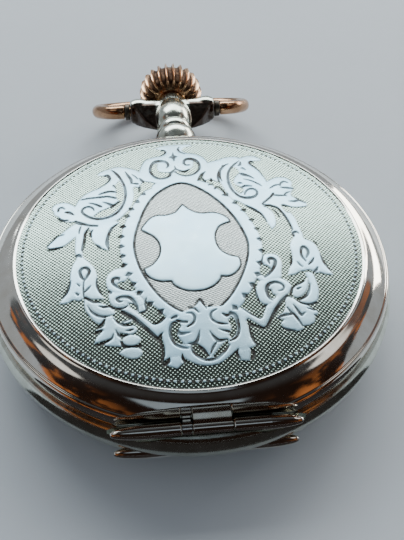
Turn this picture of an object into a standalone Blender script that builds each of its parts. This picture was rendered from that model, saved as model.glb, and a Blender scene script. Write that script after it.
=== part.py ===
"""Open-face silver pocket watch, built as an assembly of separate pieces.

The watch lies on its crystal: the table is Z = 0, the engraved back cover is up (+Z),
the crown and pendant point to +Y and the two case hinges are at -Y.
Lengths below are in millimetres and become metres where geometry is made.
"""
import math

import bmesh
import bpy
from mathutils import Matrix, Vector

MM = 0.001
MERGE = 1e-6
GAP = 0.05

# Case, measured from the table
CASE_R = 25.0
BAND_R = 25.8
BORE_R = 21.5
BEZEL_JOINT_Z = 4.8
BACK_JOINT_Z = 9.0
LEDGE_Z = 8.3
BACK_TOP_Z = 13.35
GLASS_R = 20.35
GLASS_T = 1.4

# Case hinges: straight barrels across the edge at -Y
HINGE_Y = -24.0
HINGE_EDGE_Y = -23.05
WALL_INNER_Y = -22.6
CUVETTE_EDGE_Y = -22.5
TUBE_R = 0.75
TUBE_BORE_R = 0.36
PIN_R = 0.28
TUBE_LEFT = (-10.2, -2.85)
TUBE_RIGHT = (2.65, 10.0)
CUVETTE_KNUCKLE = (-2.75, -1.75)
COVER_KNUCKLE = (-1.65, 2.55)
BEZEL_KNUCKLE = (-2.75, 2.55)

# Pendant, bow and crown
STEM_Z = 7.2
STEM_R = 0.45
STEM_BORE_R = 0.6
BOW_Y = 37.7
LUG_END_X = 7.2
WIRE_R = 1.15
BOW_PIN_R = 0.8
BOW_HALF_WIDTH = 13.0
BOW_HALF_LENGTH = 7.3
BOW_CENTRE = 5.2
BOW_REST_GAP = 0.02
CROWN_FRONT_Y = 39.9
CROWN_BACK_Y = 45.3
CROWN_R = 5.5
FLUTES = 24

# Movement levels
DIAL_Z = (3.0, 3.5)
PLATE_Z = (4.6, 5.3)
RIM_Z = 8.15
PLATE_R = 21.4
RIM_INNER_R = 19.95
BRIDGE_Z = (8.2, 8.9)
BRIDGE_R = 20.9
KEYLESS_Z = (9.0, 9.45)

# Gear train: tooth counts and centres seen from the back
BARREL_TEETH = 72
CENTRE_PINION_LEAVES = 12
CENTRE_TEETH = 80
THIRD_PINION_LEAVES = 10
THIRD_TEETH = 75
FOURTH_PINION_LEAVES = 10
FOURTH_TEETH = 80
ESCAPE_PINION_LEAVES = 8
ESCAPE_TEETH = 15
CANNON_LEAVES = 12
MINUTE_TEETH = 36
MINUTE_PINION_LEAVES = 10
HOUR_TEETH = 40
RATCHET_TEETH = 48
CROWN_WHEEL_TEETH = 30
WINDING_PINION_TEETH = 12

CENTRE = Vector((0.0, 0.0))
BARREL = Vector((-9.09, 5.49))
CROWN_WHEEL = Vector((0.0, 11.5))
THIRD = Vector((5.06, -5.122))
FOURTH = Vector((0.0, -9.0))
ESCAPE = Vector((-3.83, -13.24))
BALANCE = Vector((-10.2, -9.6))
PALLET = ESCAPE.lerp(BALANCE, 0.49)
MINUTE = Vector((3.394, 3.394))
CLICK = Vector((-10.53, 13.66))

ADDENDUM = 0.35
DEDENDUM = 0.8

CASE_SEGMENTS = 40
SMALL_SEGMENTS = 20

SILVER = ("silver", (0.80, 0.79, 0.75), 0.18, 1.0)
ROSE_GOLD = ("rose_gold", (0.72, 0.43, 0.30), 0.22, 1.0)
GILT = ("gilt_brass", (0.80, 0.62, 0.32), 0.30, 1.0)
NICKEL = ("nickel", (0.72, 0.71, 0.67), 0.28, 1.0)
STEEL = ("polished_steel", (0.60, 0.60, 0.61), 0.20, 1.0)
DARK_STEEL = ("dark_steel", (0.12, 0.11, 0.10), 0.40, 1.0)
BLUED = ("blued_steel", (0.04, 0.07, 0.30), 0.20, 1.0)
ENAMEL = ("enamel", (0.92, 0.91, 0.87), 0.12, 0.0)
GLASS = ("crystal_glass", (0.95, 0.97, 0.97), 0.02, 0.0)
RUBY = ("ruby", (0.62, 0.04, 0.12), 0.10, 0.0)


# ---------------------------------------------------------------- scene helpers

def clear_scene():
    for obj in list(bpy.data.objects):
        bpy.data.objects.remove(obj, do_unlink=True)


def new_collection(name):
    collection = bpy.data.collections.new(name)
    bpy.context.scene.collection.children.link(collection)
    return collection


def finish_material(finish):
    name, colour, roughness, metallic = finish
    found = bpy.data.materials.get(name)
    if found:
        return found
    made = bpy.data.materials.new(name)
    made.use_nodes = True
    shader = made.node_tree.nodes["Principled BSDF"]
    shader.inputs["Base Color"].default_value = (*colour, 1.0)
    shader.inputs["Roughness"].default_value = roughness
    shader.inputs["Metallic"].default_value = metallic
    if name == "crystal_glass":
        shader.inputs["Transmission Weight"].default_value = 1.0
    made.diffuse_color = (*colour, 1.0)
    return made


def register(obj, finish, collection):
    """Link the object to a collection and give it its own finish."""
    collection.objects.link(obj)
    if finish:
        obj.data.materials.append(finish_material(finish))
    return obj


def as_cutter(obj):
    """Move a helper solid to the cutters' collection, out of renders."""
    for collection in list(obj.users_collection):
        collection.objects.unlink(obj)
    CUTTERS.objects.link(obj)
    obj.hide_render = True
    obj.display_type = "WIRE"
    return obj


def boolean(target, tool, operation):
    """Cut, join or intersect target with tool, which becomes a hidden cutter."""
    step = target.modifiers.new(tool.name, "BOOLEAN")
    step.operation = operation
    step.solver = "EXACT"
    step.object = as_cutter(tool)
    return target


def cut(target, *tools):
    for tool in tools:
        boolean(target, tool, "DIFFERENCE")
    return target


def join(target, *tools):
    for tool in tools:
        boolean(target, tool, "UNION")
    return target


def hang_on_hinge(height, *objects):
    """Parent pieces to an empty on a case hinge's axis, without moving them."""
    pivot = bpy.data.objects.new(objects[0].name + "_pivot", None)
    PARTS.objects.link(pivot)
    pivot.location = Vector((0, HINGE_Y, height)) * MM
    for obj in objects:
        obj.parent = pivot
        obj.matrix_parent_inverse = Matrix.Translation(-pivot.location)


def shade_round(obj):
    obj.data.shade_smooth()
    obj.data.set_sharp_from_angle(angle=math.radians(35))
    return obj


# ---------------------------------------------------------------- shape helpers

def turned(name, profile, finish=None, centre=(0, 0, 0), axis="Z", segments=SMALL_SEGMENTS):
    """A solid of revolution from (radius, height) points, top to bottom on the outer side."""
    mesh = bpy.data.meshes.new(name)
    points = [(radius * MM, 0.0, height * MM) for radius, height in profile]
    links = [(i, i + 1) for i in range(len(points) - 1)]
    is_ring = profile[0][0] > 0 and profile[-1][0] > 0
    if is_ring:
        links.append((len(points) - 1, 0))
    mesh.from_pydata(points, links, [])
    obj = bpy.data.objects.new(name, mesh)
    obj.location = Vector(centre) * MM
    if axis == "Y":
        obj.rotation_euler = (-math.pi / 2, 0, 0)
    if axis == "X":
        obj.rotation_euler = (0, math.pi / 2, 0)
    turn = obj.modifiers.new("turn", "SCREW")
    turn.axis = "Z"
    turn.angle = math.tau
    turn.steps = segments
    turn.render_steps = segments
    turn.use_merge_vertices = True
    turn.merge_threshold = MERGE
    turn.use_smooth_shade = True
    return register(obj, finish, PARTS)


def cylinder(name, radius, low, high, finish=None, centre=(0, 0, 0), axis="Z", segments=SMALL_SEGMENTS):
    """A solid cylinder from low to high along its axis."""
    profile = [(0, high), (radius, high), (radius, low), (0, low)]
    return turned(name, profile, finish, centre, axis, segments)


def ring(name, inner, outer, low, high, finish=None, centre=(0, 0, 0), axis="Z", segments=SMALL_SEGMENTS):
    """A plain bushing or tube."""
    profile = [(outer, high), (outer, low), (inner, low), (inner, high)]
    return turned(name, profile, finish, centre, axis, segments)


def box(name, low, high, finish=None):
    """A rectangular block between two corners."""
    mesh = bpy.data.meshes.new(name)
    shape = bmesh.new()
    bmesh.ops.create_cube(shape, size=1.0)
    size = [(high[i] - low[i]) * MM for i in range(3)]
    middle = Vector([(high[i] + low[i]) * MM / 2 for i in range(3)])
    bmesh.ops.scale(shape, vec=size, verts=shape.verts)
    shape.to_mesh(mesh)
    shape.free()
    obj = bpy.data.objects.new(name, mesh)
    obj.location = middle
    return register(obj, finish, PARTS)


def arc(centre, radius, start, end, count):
    """Points along an arc, angles in degrees."""
    points = []
    for i in range(count):
        angle = math.radians(start + (end - start) * i / (count - 1))
        points.append((centre[0] + radius * math.cos(angle), centre[1] + radius * math.sin(angle)))
    return points


def circle(centre, radius, count=16):
    return arc(centre, radius, 0, 360 * (count - 1) / count, count)


def outline_curve(name, outlines, low, high):
    """A flat curve object with its outlines filled and extruded from low to high."""
    data = bpy.data.curves.new(name, "CURVE")
    data.dimensions = "2D"
    data.fill_mode = "BOTH"
    data.extrude = (high - low) / 2 * MM
    for points in outlines:
        spline = data.splines.new("POLY")
        spline.points.add(len(points) - 1)
        for target, (x, y) in zip(spline.points, points):
            target.co = (x * MM, y * MM, 0.0, 1.0)
        spline.use_cyclic_u = True
    obj = bpy.data.objects.new(name, data)
    obj.location = (0, 0, (low + high) / 2 * MM)
    return obj


def as_mesh(curve_obj):
    """The evaluated curve as a mesh object in the same place, with its caps welded."""
    bpy.context.scene.collection.objects.link(curve_obj)
    bpy.context.view_layer.update()
    graph = bpy.context.evaluated_depsgraph_get()
    mesh = bpy.data.meshes.new_from_object(curve_obj.evaluated_get(graph))
    shape = bmesh.new()
    shape.from_mesh(mesh)
    bmesh.ops.remove_doubles(shape, verts=shape.verts, dist=MERGE)
    shape.to_mesh(mesh)
    shape.free()
    name = curve_obj.name
    place = curve_obj.matrix_world.copy()
    bpy.data.objects.remove(curve_obj, do_unlink=True)
    obj = bpy.data.objects.new(name, mesh)
    obj.matrix_world = place
    return obj


def plate(name, outlines, low, high, finish=None, origin=(0, 0)):
    """A flat piece cut from sheet: the first outline is its edge, the others are holes."""
    shifted = [[(x - origin[0], y - origin[1]) for x, y in points] for points in outlines]
    obj = as_mesh(outline_curve(name, shifted, low, high))
    obj.location.x = origin[0] * MM
    obj.location.y = origin[1] * MM
    return register(obj, finish, PARTS)


def place_outline(points, centre, angle=0.0):
    """Outline points turned by an angle in radians and moved to a centre."""
    turn = Matrix.Rotation(angle, 2)
    return [tuple(turn @ Vector(point) + Vector(centre)) for point in points]


# ---------------------------------------------------------------- gears

def pitch_radius(teeth, module):
    return teeth * module / 2


def gear_outline(teeth, module, phase=0.0, centre=(0, 0)):
    """Slender pointed teeth: one tip and one root point for each tooth."""
    radius = pitch_radius(teeth, module)
    pitch = math.tau / teeth
    points = []
    for i in range(teeth):
        for angle, reach in ((phase + i * pitch, ADDENDUM), (phase + (i + 0.5) * pitch, -DEDENDUM)):
            reach_radius = radius + reach * module
            points.append((centre[0] + reach_radius * math.cos(angle),
                           centre[1] + reach_radius * math.sin(angle)))
    return points


def meshing_phase(driver_centre, driver_teeth, driver_phase, centre, teeth):
    """The phase that puts a gap of this gear opposite a tooth of its driver."""
    line = Vector(centre) - Vector(driver_centre)
    direction = math.atan2(line.y, line.x)
    driver_pitch = math.tau / driver_teeth
    offset = ((direction - driver_phase) / driver_pitch) % 1.0
    return direction + math.pi + (offset - 0.5) * math.tau / teeth


def crossings(centre, inner, outer, spokes, spoke_width, phase=0.0):
    """Outlines of the openings between a wheel's spokes."""
    holes = []
    for i in range(spokes):
        middle = phase + 360 * (i + 0.5) / spokes
        half_outer = 180 / spokes - math.degrees(spoke_width / 2 / outer)
        half_inner = 180 / spokes - math.degrees(spoke_width / 2 / inner)
        hole = arc(centre, outer, middle - half_outer, middle + half_outer, 4)
        hole += arc(centre, inner, middle + half_inner, middle - half_inner, 2)
        holes.append(hole)
    return holes


def module_between(first, second, first_teeth, second_teeth):
    """The tooth size that fits two gears to the distance between their centres."""
    return 2 * (Vector(first) - Vector(second)).length / (first_teeth + second_teeth)


BARREL_MODULE = module_between(BARREL, CENTRE, BARREL_TEETH, CENTRE_PINION_LEAVES)
CENTRE_MODULE = module_between(CENTRE, THIRD, CENTRE_TEETH, THIRD_PINION_LEAVES)
THIRD_MODULE = module_between(THIRD, FOURTH, THIRD_TEETH, FOURTH_PINION_LEAVES)
FOURTH_MODULE = module_between(FOURTH, ESCAPE, FOURTH_TEETH, ESCAPE_PINION_LEAVES)
MINUTE_MODULE = module_between(CENTRE, MINUTE, CANNON_LEAVES, MINUTE_TEETH)
HOUR_MODULE = module_between(CENTRE, MINUTE, HOUR_TEETH, MINUTE_PINION_LEAVES)
KEYLESS_MODULE = module_between(BARREL, CROWN_WHEEL, RATCHET_TEETH, CROWN_WHEEL_TEETH)

CENTRE_PINION_PHASE = meshing_phase(BARREL, BARREL_TEETH, 0.0, CENTRE, CENTRE_PINION_LEAVES)
THIRD_PINION_PHASE = meshing_phase(CENTRE, CENTRE_TEETH, 0.0, THIRD, THIRD_PINION_LEAVES)
FOURTH_PINION_PHASE = meshing_phase(THIRD, THIRD_TEETH, 0.0, FOURTH, FOURTH_PINION_LEAVES)
ESCAPE_PINION_PHASE = meshing_phase(FOURTH, FOURTH_TEETH, 0.0, ESCAPE, ESCAPE_PINION_LEAVES)
MINUTE_PHASE = meshing_phase(CENTRE, CANNON_LEAVES, 0.0, MINUTE, MINUTE_TEETH)
HOUR_PHASE = meshing_phase(MINUTE, MINUTE_PINION_LEAVES, 0.0, CENTRE, HOUR_TEETH)
CROWN_WHEEL_PHASE = meshing_phase(BARREL, RATCHET_TEETH, 0.0, CROWN_WHEEL, CROWN_WHEEL_TEETH)


def wheel_with_pinion(name, centre, teeth, module, wheel_z, leaves, pinion_module, pinion_phase,
                      pinion_z, arbor, finish):
    """A crossed-out train wheel, its pinion and its arbor, joined as one riveted piece."""
    radius = pitch_radius(teeth, module)
    rim_inner = radius - DEDENDUM * module - 0.45
    hub = pitch_radius(leaves, pinion_module) + 0.55
    outlines = [gear_outline(teeth, module, 0.0, centre)]
    outlines += crossings(centre, hub, rim_inner, 5, 0.6)
    wheel = plate(name, outlines, *wheel_z, finish, origin=centre)
    pinion_points = gear_outline(leaves, pinion_module, pinion_phase, centre)
    pinion = plate(name + "_pinion_form", [pinion_points], *pinion_z, None, origin=centre)
    shaft = turned(name + "_arbor_form", arbor, None, (*centre, 0), segments=10)
    return join(wheel, pinion, shaft)


# ---------------------------------------------------------------- case

def make_case_band():
    """Middle of the case: a rounded ring with a ledge, hinge grooves and the pendant's hole."""
    joint_top = BACK_JOINT_Z - GAP
    joint_bottom = BEZEL_JOINT_Z + GAP
    profile = [
        (CASE_R, joint_top), (25.5, 8.45), (BAND_R, 7.4), (25.75, 6.4), (25.45, 5.5),
        (CASE_R, joint_bottom), (BORE_R, joint_bottom), (BORE_R, LEDGE_Z), (24.1, LEDGE_Z), (24.1, joint_top),
    ]
    band = turned("case_band", profile, SILVER, segments=CASE_SEGMENTS)
    groove_depth = TUBE_R + 0.1
    groove_x = (TUBE_LEFT[0] - 0.4, TUBE_RIGHT[1] + 0.4)
    back_groove = box(
        "back_hinge_groove",
        (groove_x[0], HINGE_Y - groove_depth, BACK_JOINT_Z - groove_depth),
        (groove_x[1], HINGE_Y + groove_depth, BACK_JOINT_Z + 2))
    front_groove = box(
        "bezel_hinge_groove",
        (groove_x[0], HINGE_Y - groove_depth, BEZEL_JOINT_Z - 2),
        (groove_x[1], HINGE_Y + groove_depth, BEZEL_JOINT_Z + groove_depth))
    pendant_hole = cylinder("pendant_hole", 0.95, 20, 30, None, (0, 0, STEM_Z), "Y", 16)
    return shade_round(cut(band, back_groove, front_groove, pendant_hole))


def make_hinge_tube(name, span, closed_end, height):
    """A fixed knuckle: a bored tube with a tapered closed outer end."""
    length = span[1] - span[0]
    profile = [
        (0, 0), (0.35, -0.18), (0.58, -0.7), (TUBE_R, -1.8), (TUBE_R, -length),
        (TUBE_BORE_R, -length), (TUBE_BORE_R, -0.8), (0, -0.8),
    ]
    tip = span[0] if closed_end == "left" else span[1]
    tube = turned(name, profile, SILVER, (tip, HINGE_Y, height), "X", 14)
    if closed_end == "left":
        tube.rotation_euler = (0, -math.pi / 2, 0)
    return tube


def make_hinge(prefix, height):
    """The two fixed knuckles and the pin of one case hinge."""
    make_hinge_tube(prefix + "_tube_left", TUBE_LEFT, "left", height)
    make_hinge_tube(prefix + "_tube_right", TUBE_RIGHT, "right", height)
    cylinder(prefix + "_pin", PIN_R, TUBE_LEFT[0] + 0.9, TUBE_RIGHT[1] - 0.9, STEEL,
             (0, HINGE_Y, height), "X", 10)


def knuckle(name, span, height, tab_low, tab_high, tab_reach):
    """A moving knuckle and the tab that joins it to its cover."""
    tube = cylinder(name + "_tube_form", TUBE_R, span[0], span[1], None, (0, HINGE_Y, height), "X", 14)
    tab = box(name + "_tab_form", (span[0] + 0.1, HINGE_Y, tab_low), (span[1] - 0.1, tab_reach, tab_high))
    return tube, tab


def knuckle_bore(name, span, height):
    return cylinder(name + "_bore", TUBE_BORE_R, span[0] - 0.5, span[1] + 0.5, None,
                    (0, HINGE_Y, height), "X", 12)


def edge_block(name, edge_y, low_z, high_z):
    """A block that trims everything on the hinge side of a straight edge."""
    return box(name, (-14, -30, low_z), (14, edge_y, high_z))


def make_back_cover():
    """Domed engraved back: bead at the joint, polished bevel, raised thin line, shallow dome."""
    outer = [
        (0, BACK_TOP_Z), (8, 13.25), (15, 12.95), (20.4, 12.5), (21.2, 12.38), (21.64, 12.5), (22.0, 12.42),
        (23.4, 11.8), (24.5, 10.98), (CASE_R, 10.7), (CASE_R, BACK_JOINT_Z + GAP), (0, BACK_JOINT_Z + GAP),
    ]
    inner = [
        (0, 12.85), (8, 12.75), (15, 12.4), (21.2, 11.85), (23.4, 11.1), (24.5, 10.2), (24.5, 8.0), (0, 8.0),
    ]
    cover = turned("back_cover", outer, SILVER, segments=CASE_SEGMENTS)
    hollow = turned("back_cover_hollow", inner, None, segments=CASE_SEGMENTS)
    cut(hollow, edge_block("back_cover_hollow_edge", WALL_INNER_Y, 6, 16))
    cut(cover, edge_block("back_cover_edge", HINGE_EDGE_Y, 6, 16), hollow)
    tube, tab = knuckle("cover_knuckle", COVER_KNUCKLE, BACK_JOINT_Z, 9.1, 9.7, WALL_INNER_Y - 0.2)
    join(cover, tab, tube)
    notch = box("cuvette_tab_notch", (CUVETTE_KNUCKLE[0] - 0.1, -24.9, 8.5),
                (CUVETTE_KNUCKLE[1] + 0.05, WALL_INNER_Y + 0.3, 9.6))
    cut(cover, knuckle_bore("cover_knuckle", COVER_KNUCKLE, BACK_JOINT_Z), notch)
    hang_on_hinge(BACK_JOINT_Z, cover)
    return shade_round(cover)


def make_cuvette():
    """Inner dust cover, a thin plain dome over the movement on the same hinge pin."""
    profile = [
        (0, 10.25), (12, 10.15), (18, 9.93), (23.2, 9.5), (24.0, 9.06), (23.5, 9.06), (22.9, 9.18),
        (17.8, 9.6), (12, 9.84), (0, 9.94),
    ]
    cuvette = turned("cuvette", profile, SILVER, segments=CASE_SEGMENTS)
    cut(cuvette, edge_block("cuvette_edge", CUVETTE_EDGE_Y, 6, 16))
    tube, tab = knuckle("cuvette_knuckle", CUVETTE_KNUCKLE, BACK_JOINT_Z, 9.12, 9.4, -22.2)
    join(cuvette, tab, tube)
    cut(cuvette, knuckle_bore("cuvette_knuckle", CUVETTE_KNUCKLE, BACK_JOINT_Z))
    hang_on_hinge(BACK_JOINT_Z, cuvette)
    return shade_round(cuvette)


def make_bezel():
    """Hinged front ring that holds the crystal."""
    top = BEZEL_JOINT_Z - GAP
    outer = [
        (CASE_R, top), (24.75, 3.5), (23.7, 2.2), (22.2, 1.2), (20.95, 0.75), (20.45, 0.75), (20.45, 1.5),
        (19.6, 1.5), (19.6, top),
    ]
    inner = [
        (0, 6.0), (24.2, 6.0), (24.2, 4.0), (23.0, 2.6), (20.2, 2.0), (0, 2.0),
    ]
    bezel = turned("bezel", outer, SILVER, segments=CASE_SEGMENTS)
    hollow = turned("bezel_hollow", inner, None, segments=CASE_SEGMENTS)
    cut(hollow, edge_block("bezel_hollow_edge", WALL_INNER_Y, -2, 8))
    cut(bezel, edge_block("bezel_edge", HINGE_EDGE_Y, -2, 8), hollow)
    tube, tab = knuckle("bezel_knuckle", BEZEL_KNUCKLE, BEZEL_JOINT_Z, 4.15, 4.65, WALL_INNER_Y - 0.2)
    join(bezel, tab, tube)
    cut(bezel, knuckle_bore("bezel_knuckle", BEZEL_KNUCKLE, BEZEL_JOINT_Z))
    return shade_round(bezel)


def make_crystal():
    """Flat glass with a bevelled edge, set in the bezel's rebate."""
    profile = [(0, GLASS_T), (GLASS_R, GLASS_T), (GLASS_R, 0.7), (18.6, 0.0), (0, 0.0)]
    return turned("crystal", profile, GLASS, segments=CASE_SEGMENTS)


# ---------------------------------------------------------------- pendant, bow and crown

def make_pendant():
    """Neck of the case: bulging base, ringed neck, ball, and a yoke with two lugs for the bow."""
    profile = [
        (STEM_BORE_R, 39.7), (2.2, 39.7), (2.4, 39.3), (2.5, 37.4), (2.9, 36.2), (2.9, 34.6), (2.4, 33.3),
        (2.45, 32.9), (2.8, 32.4), (2.4, 31.6), (2.5, 31.2), (3.2, 30.4), (3.4, 28.8), (3.2, 27.0),
        (2.9, 25.95), (0.9, 25.95), (0.9, 24.3), (STEM_BORE_R, 24.3),
    ]
    pendant = turned("pendant", profile, SILVER, (0, 0, STEM_Z), "Y", 20)
    lug = [
        (0, LUG_END_X), (1.6, LUG_END_X), (1.95, 6.5), (2.0, 5.3), (1.75, 4.0), (1.75, 2.0),
        (1.75, -2.0), (1.75, -4.0), (2.0, -5.3), (1.95, -6.5), (1.6, -LUG_END_X), (0, -LUG_END_X),
    ]
    lugs = turned("pendant_lugs_form", lug, None, (0, BOW_Y, STEM_Z), "X", 14)
    web_points = [(-6.8, 36.2), (-2.2, 31.4), (2.2, 31.4), (6.8, 36.2), (6.8, 38.3), (-6.8, 38.3)]
    web = plate("pendant_web_form", [web_points], STEM_Z - 1.1, STEM_Z + 1.1, None)
    join(pendant, lugs, web)
    bore = cylinder("pendant_stem_bore", STEM_BORE_R, 20, 42, None, (0, 0, STEM_Z), "Y", 16)
    holes = []
    for side, sign in (("left", -1), ("right", 1)):
        span = sorted((sign * 5.3, sign * 8.4))
        holes.append(cylinder("bow_hole_" + side, BOW_PIN_R + GAP, span[0], span[1], None,
                              (0, BOW_Y, STEM_Z), "X", 11))
    return shade_round(cut(pendant, bore, *holes))


def make_bow_collars():
    """Dark steel bushes between the pendant's lugs and the bow's shoulders."""
    for side, span in (("left", (-8.1, -7.3)), ("right", (7.3, 8.1))):
        ring("bow_collar_" + side, BOW_PIN_R + GAP, 1.35, span[0], span[1], DARK_STEEL,
             (0, BOW_Y, STEM_Z), "X", 16)


def bow_half_path():
    """Right half of the bow, from its pin to the middle of the far arc, with wire radii."""
    pin = BOW_PIN_R / WIRE_R
    points = [(5.5, 0.0, pin), (8.2, 0.0, pin), (8.35, 0.0, 1.0), (9.4, 0.15, 1.0), (10.5, 0.65, 1.0),
              (11.3, 1.35, 1.0)]
    for i in range(11):
        angle = math.radians(-24 + 114 * i / 10)
        points.append((BOW_HALF_WIDTH * math.cos(angle), BOW_CENTRE + BOW_HALF_LENGTH * math.sin(angle), 1.0))
    return points


def make_bow():
    """Rose gold wire loop that swivels in the lugs, tilted down until it rests on the table."""
    right = bow_half_path()
    left = [(-x, y, radius) for x, y, radius in reversed(right[:-1])]
    path = right + left
    data = bpy.data.curves.new("bow", "CURVE")
    data.dimensions = "3D"
    data.bevel_depth = WIRE_R * MM
    data.bevel_resolution = 2
    data.use_fill_caps = True
    spline = data.splines.new("POLY")
    spline.points.add(len(path) - 1)
    for target, (x, y, radius) in zip(spline.points, path):
        target.co = (x * MM, y * MM, 0.0, 1.0)
        target.radius = radius
    bow = bpy.data.objects.new("bow", data)
    pivot = bpy.data.objects.new("bow_pivot", None)
    PARTS.objects.link(pivot)
    pivot.location = Vector((0, BOW_Y, STEM_Z)) * MM
    drop = STEM_Z - WIRE_R - BOW_REST_GAP
    pivot.rotation_euler = (-math.asin(drop / (BOW_CENTRE + BOW_HALF_LENGTH)), 0, 0)
    bow.parent = pivot
    return register(bow, ROSE_GOLD, PARTS)


def make_crown():
    """Rounded fluted winding knob with a blind hole for the stem."""
    shape = bmesh.new()
    bmesh.ops.create_uvsphere(shape, u_segments=2 * FLUTES, v_segments=8, radius=1.0)
    half = (CROWN_BACK_Y - CROWN_FRONT_Y) / 2
    for vert in shape.verts:
        x, y, z = vert.co
        around = math.atan2(y, x)
        flute = round(around / (math.pi / FLUTES)) % 2
        radius = math.hypot(x, y) ** 0.6
        depth = 1.0 - 0.11 * flute * min(1.0, radius)
        reach = CROWN_R * radius * depth
        height = half * math.copysign(abs(z) ** 0.8, z)
        vert.co = (reach * math.cos(around) * MM, reach * math.sin(around) * MM, height * MM)
    mesh = bpy.data.meshes.new("crown")
    shape.to_mesh(mesh)
    shape.free()
    crown = bpy.data.objects.new("crown", mesh)
    crown.location = Vector((0, CROWN_FRONT_Y + half, STEM_Z)) * MM
    crown.rotation_euler = (-math.pi / 2, 0, 0)
    register(crown, ROSE_GOLD, PARTS)
    hole = cylinder("crown_stem_hole", STEM_R + GAP, CROWN_FRONT_Y - 2, 43.1, None, (0, 0, STEM_Z), "Y", 14)
    return cut(crown, hole)


# ---------------------------------------------------------------- winding and setting

def make_winding_stem():
    profile = [
        (0, 42.9), (STEM_R, 42.9), (STEM_R, 18.0), (0.32, 17.8), (0.32, 17.4), (STEM_R, 17.2),
        (STEM_R, 13.2), (0, 13.2),
    ]
    return turned("winding_stem", profile, STEEL, (0, 0, STEM_Z), "Y", 12)


def pinion_on_stem(name, teeth, module, span):
    """A toothed sleeve that slides or turns on the winding stem."""
    outlines = [gear_outline(teeth, module), circle((0, 0), STEM_R + GAP, 12)]
    length = span[1] - span[0]
    sleeve = plate(name, outlines, -length / 2, length / 2, STEEL)
    sleeve.rotation_euler = (-math.pi / 2, 0, 0)
    sleeve.location = Vector((0, (span[0] + span[1]) / 2, STEM_Z)) * MM
    return sleeve


def make_keyless_pinions():
    pinion_on_stem("winding_pinion", WINDING_PINION_TEETH, 0.26, (15.2, 16.4))
    pinion_on_stem("sliding_pinion", WINDING_PINION_TEETH, 0.19, (13.5, 14.9))


def make_setting_lever():
    """Small lever that the stem's groove swings when the crown is pulled."""
    outline = arc((4.6, 16.2), 0.9, -90, 90, 6) + [(1.2, 17.9), (0.6, 17.75), (0.6, 17.3), (3.6, 15.6)]
    return plate("setting_lever", [outline], 5.6, 6.1, STEEL, origin=(4.6, 16.2))


def make_crown_wheel():
    outlines = [
        gear_outline(CROWN_WHEEL_TEETH, KEYLESS_MODULE, CROWN_WHEEL_PHASE, CROWN_WHEEL),
        circle(CROWN_WHEEL, 0.9),
    ]
    wheel = plate("crown_wheel", outlines, *KEYLESS_Z, STEEL, origin=CROWN_WHEEL)
    profile = [(0, 9.75), (1.3, 9.7), (1.3, 9.5), (0.8, 9.5), (0.8, 8.4), (0, 8.4)]
    turned("crown_wheel_screw", profile, BLUED, (*CROWN_WHEEL, 0), segments=14)
    return wheel


def make_ratchet_wheel():
    outlines = [gear_outline(RATCHET_TEETH, KEYLESS_MODULE, 0.0, BARREL), circle(BARREL, 0.7)]
    wheel = plate("ratchet_wheel", outlines, *KEYLESS_Z, STEEL, origin=BARREL)
    profile = [(0, 9.75), (1.4, 9.7), (1.4, 9.5), (0, 9.5)]
    turned("ratchet_screw", profile, BLUED, (*BARREL, 0), segments=14)
    return wheel


def make_click():
    """Pawl that stops the ratchet wheel from turning back, and its bent wire spring."""
    tip_angle = math.radians(84)
    tip_radius = pitch_radius(RATCHET_TEETH, KEYLESS_MODULE) + 0.2
    tip = BARREL + Vector((math.cos(tip_angle), math.sin(tip_angle))) * tip_radius
    outline = arc(CLICK, 0.8, 20, 250, 9) + [(tip.x - 0.3, tip.y), tuple(tip), (tip.x + 0.1, tip.y + 0.5)]
    plate("click", [outline], *KEYLESS_Z, STEEL, origin=CLICK)
    pivot = (-12.6, 11.8)
    spring = arc(pivot, 3.4, 62, 120, 8) + arc(pivot, 3.6, 120, 62, 8)
    return plate("click_spring", [spring], 9.0, 9.25, BLUED)


# ---------------------------------------------------------------- barrel

def make_barrel():
    """Mainspring drum with its toothed floor, lid, arbor and coiled spring."""
    phase = 0.0
    floor = plate("barrel_drum",
                  [gear_outline(BARREL_TEETH, BARREL_MODULE, phase, BARREL), circle(BARREL, 0.85)],
                  5.45, 5.85, GILT, origin=BARREL)
    wall = ring("barrel_wall_form", 8.3, 8.7, 5.6, 7.2, None, (*BARREL, 0), segments=28)
    join(floor, wall)
    ring("barrel_cover", 0.85, 8.2, 6.95, 7.15, GILT, (*BARREL, 0), segments=28)
    arbor = [
        (0, 9.42), (0.64, 9.42), (0.64, 8.1), (0.75, 8.05), (0.75, 6.85), (1.6, 6.8), (1.6, 5.95), (0.75, 5.9),
        (0.75, 5.38), (0, 5.38),
    ]
    turned("barrel_arbor", arbor, STEEL, (*BARREL, 0), segments=14)
    outer_side = []
    inner_side = []
    turns = 5
    steps = turns * 11
    for i in range(steps + 1):
        angle = math.tau * turns * i / steps
        radius = 1.9 + (8.1 - 1.9) * i / steps
        across = Vector((math.cos(angle), math.sin(angle)))
        outer_side.append(tuple(BARREL + across * (radius + 0.1)))
        inner_side.append(tuple(BARREL + across * (radius - 0.1)))
    plate("mainspring", [outer_side + inner_side[::-1]], 5.95, 6.8, BLUED, origin=BARREL)


# ---------------------------------------------------------------- plates and bridges

def polar(radius, degrees):
    angle = math.radians(degrees)
    return Vector((radius * math.cos(angle), radius * math.sin(angle)))


CASE_SCREWS = {"case_screw_left": polar(20.75, 190), "case_screw_right": polar(20.75, 62.7)}


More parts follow.
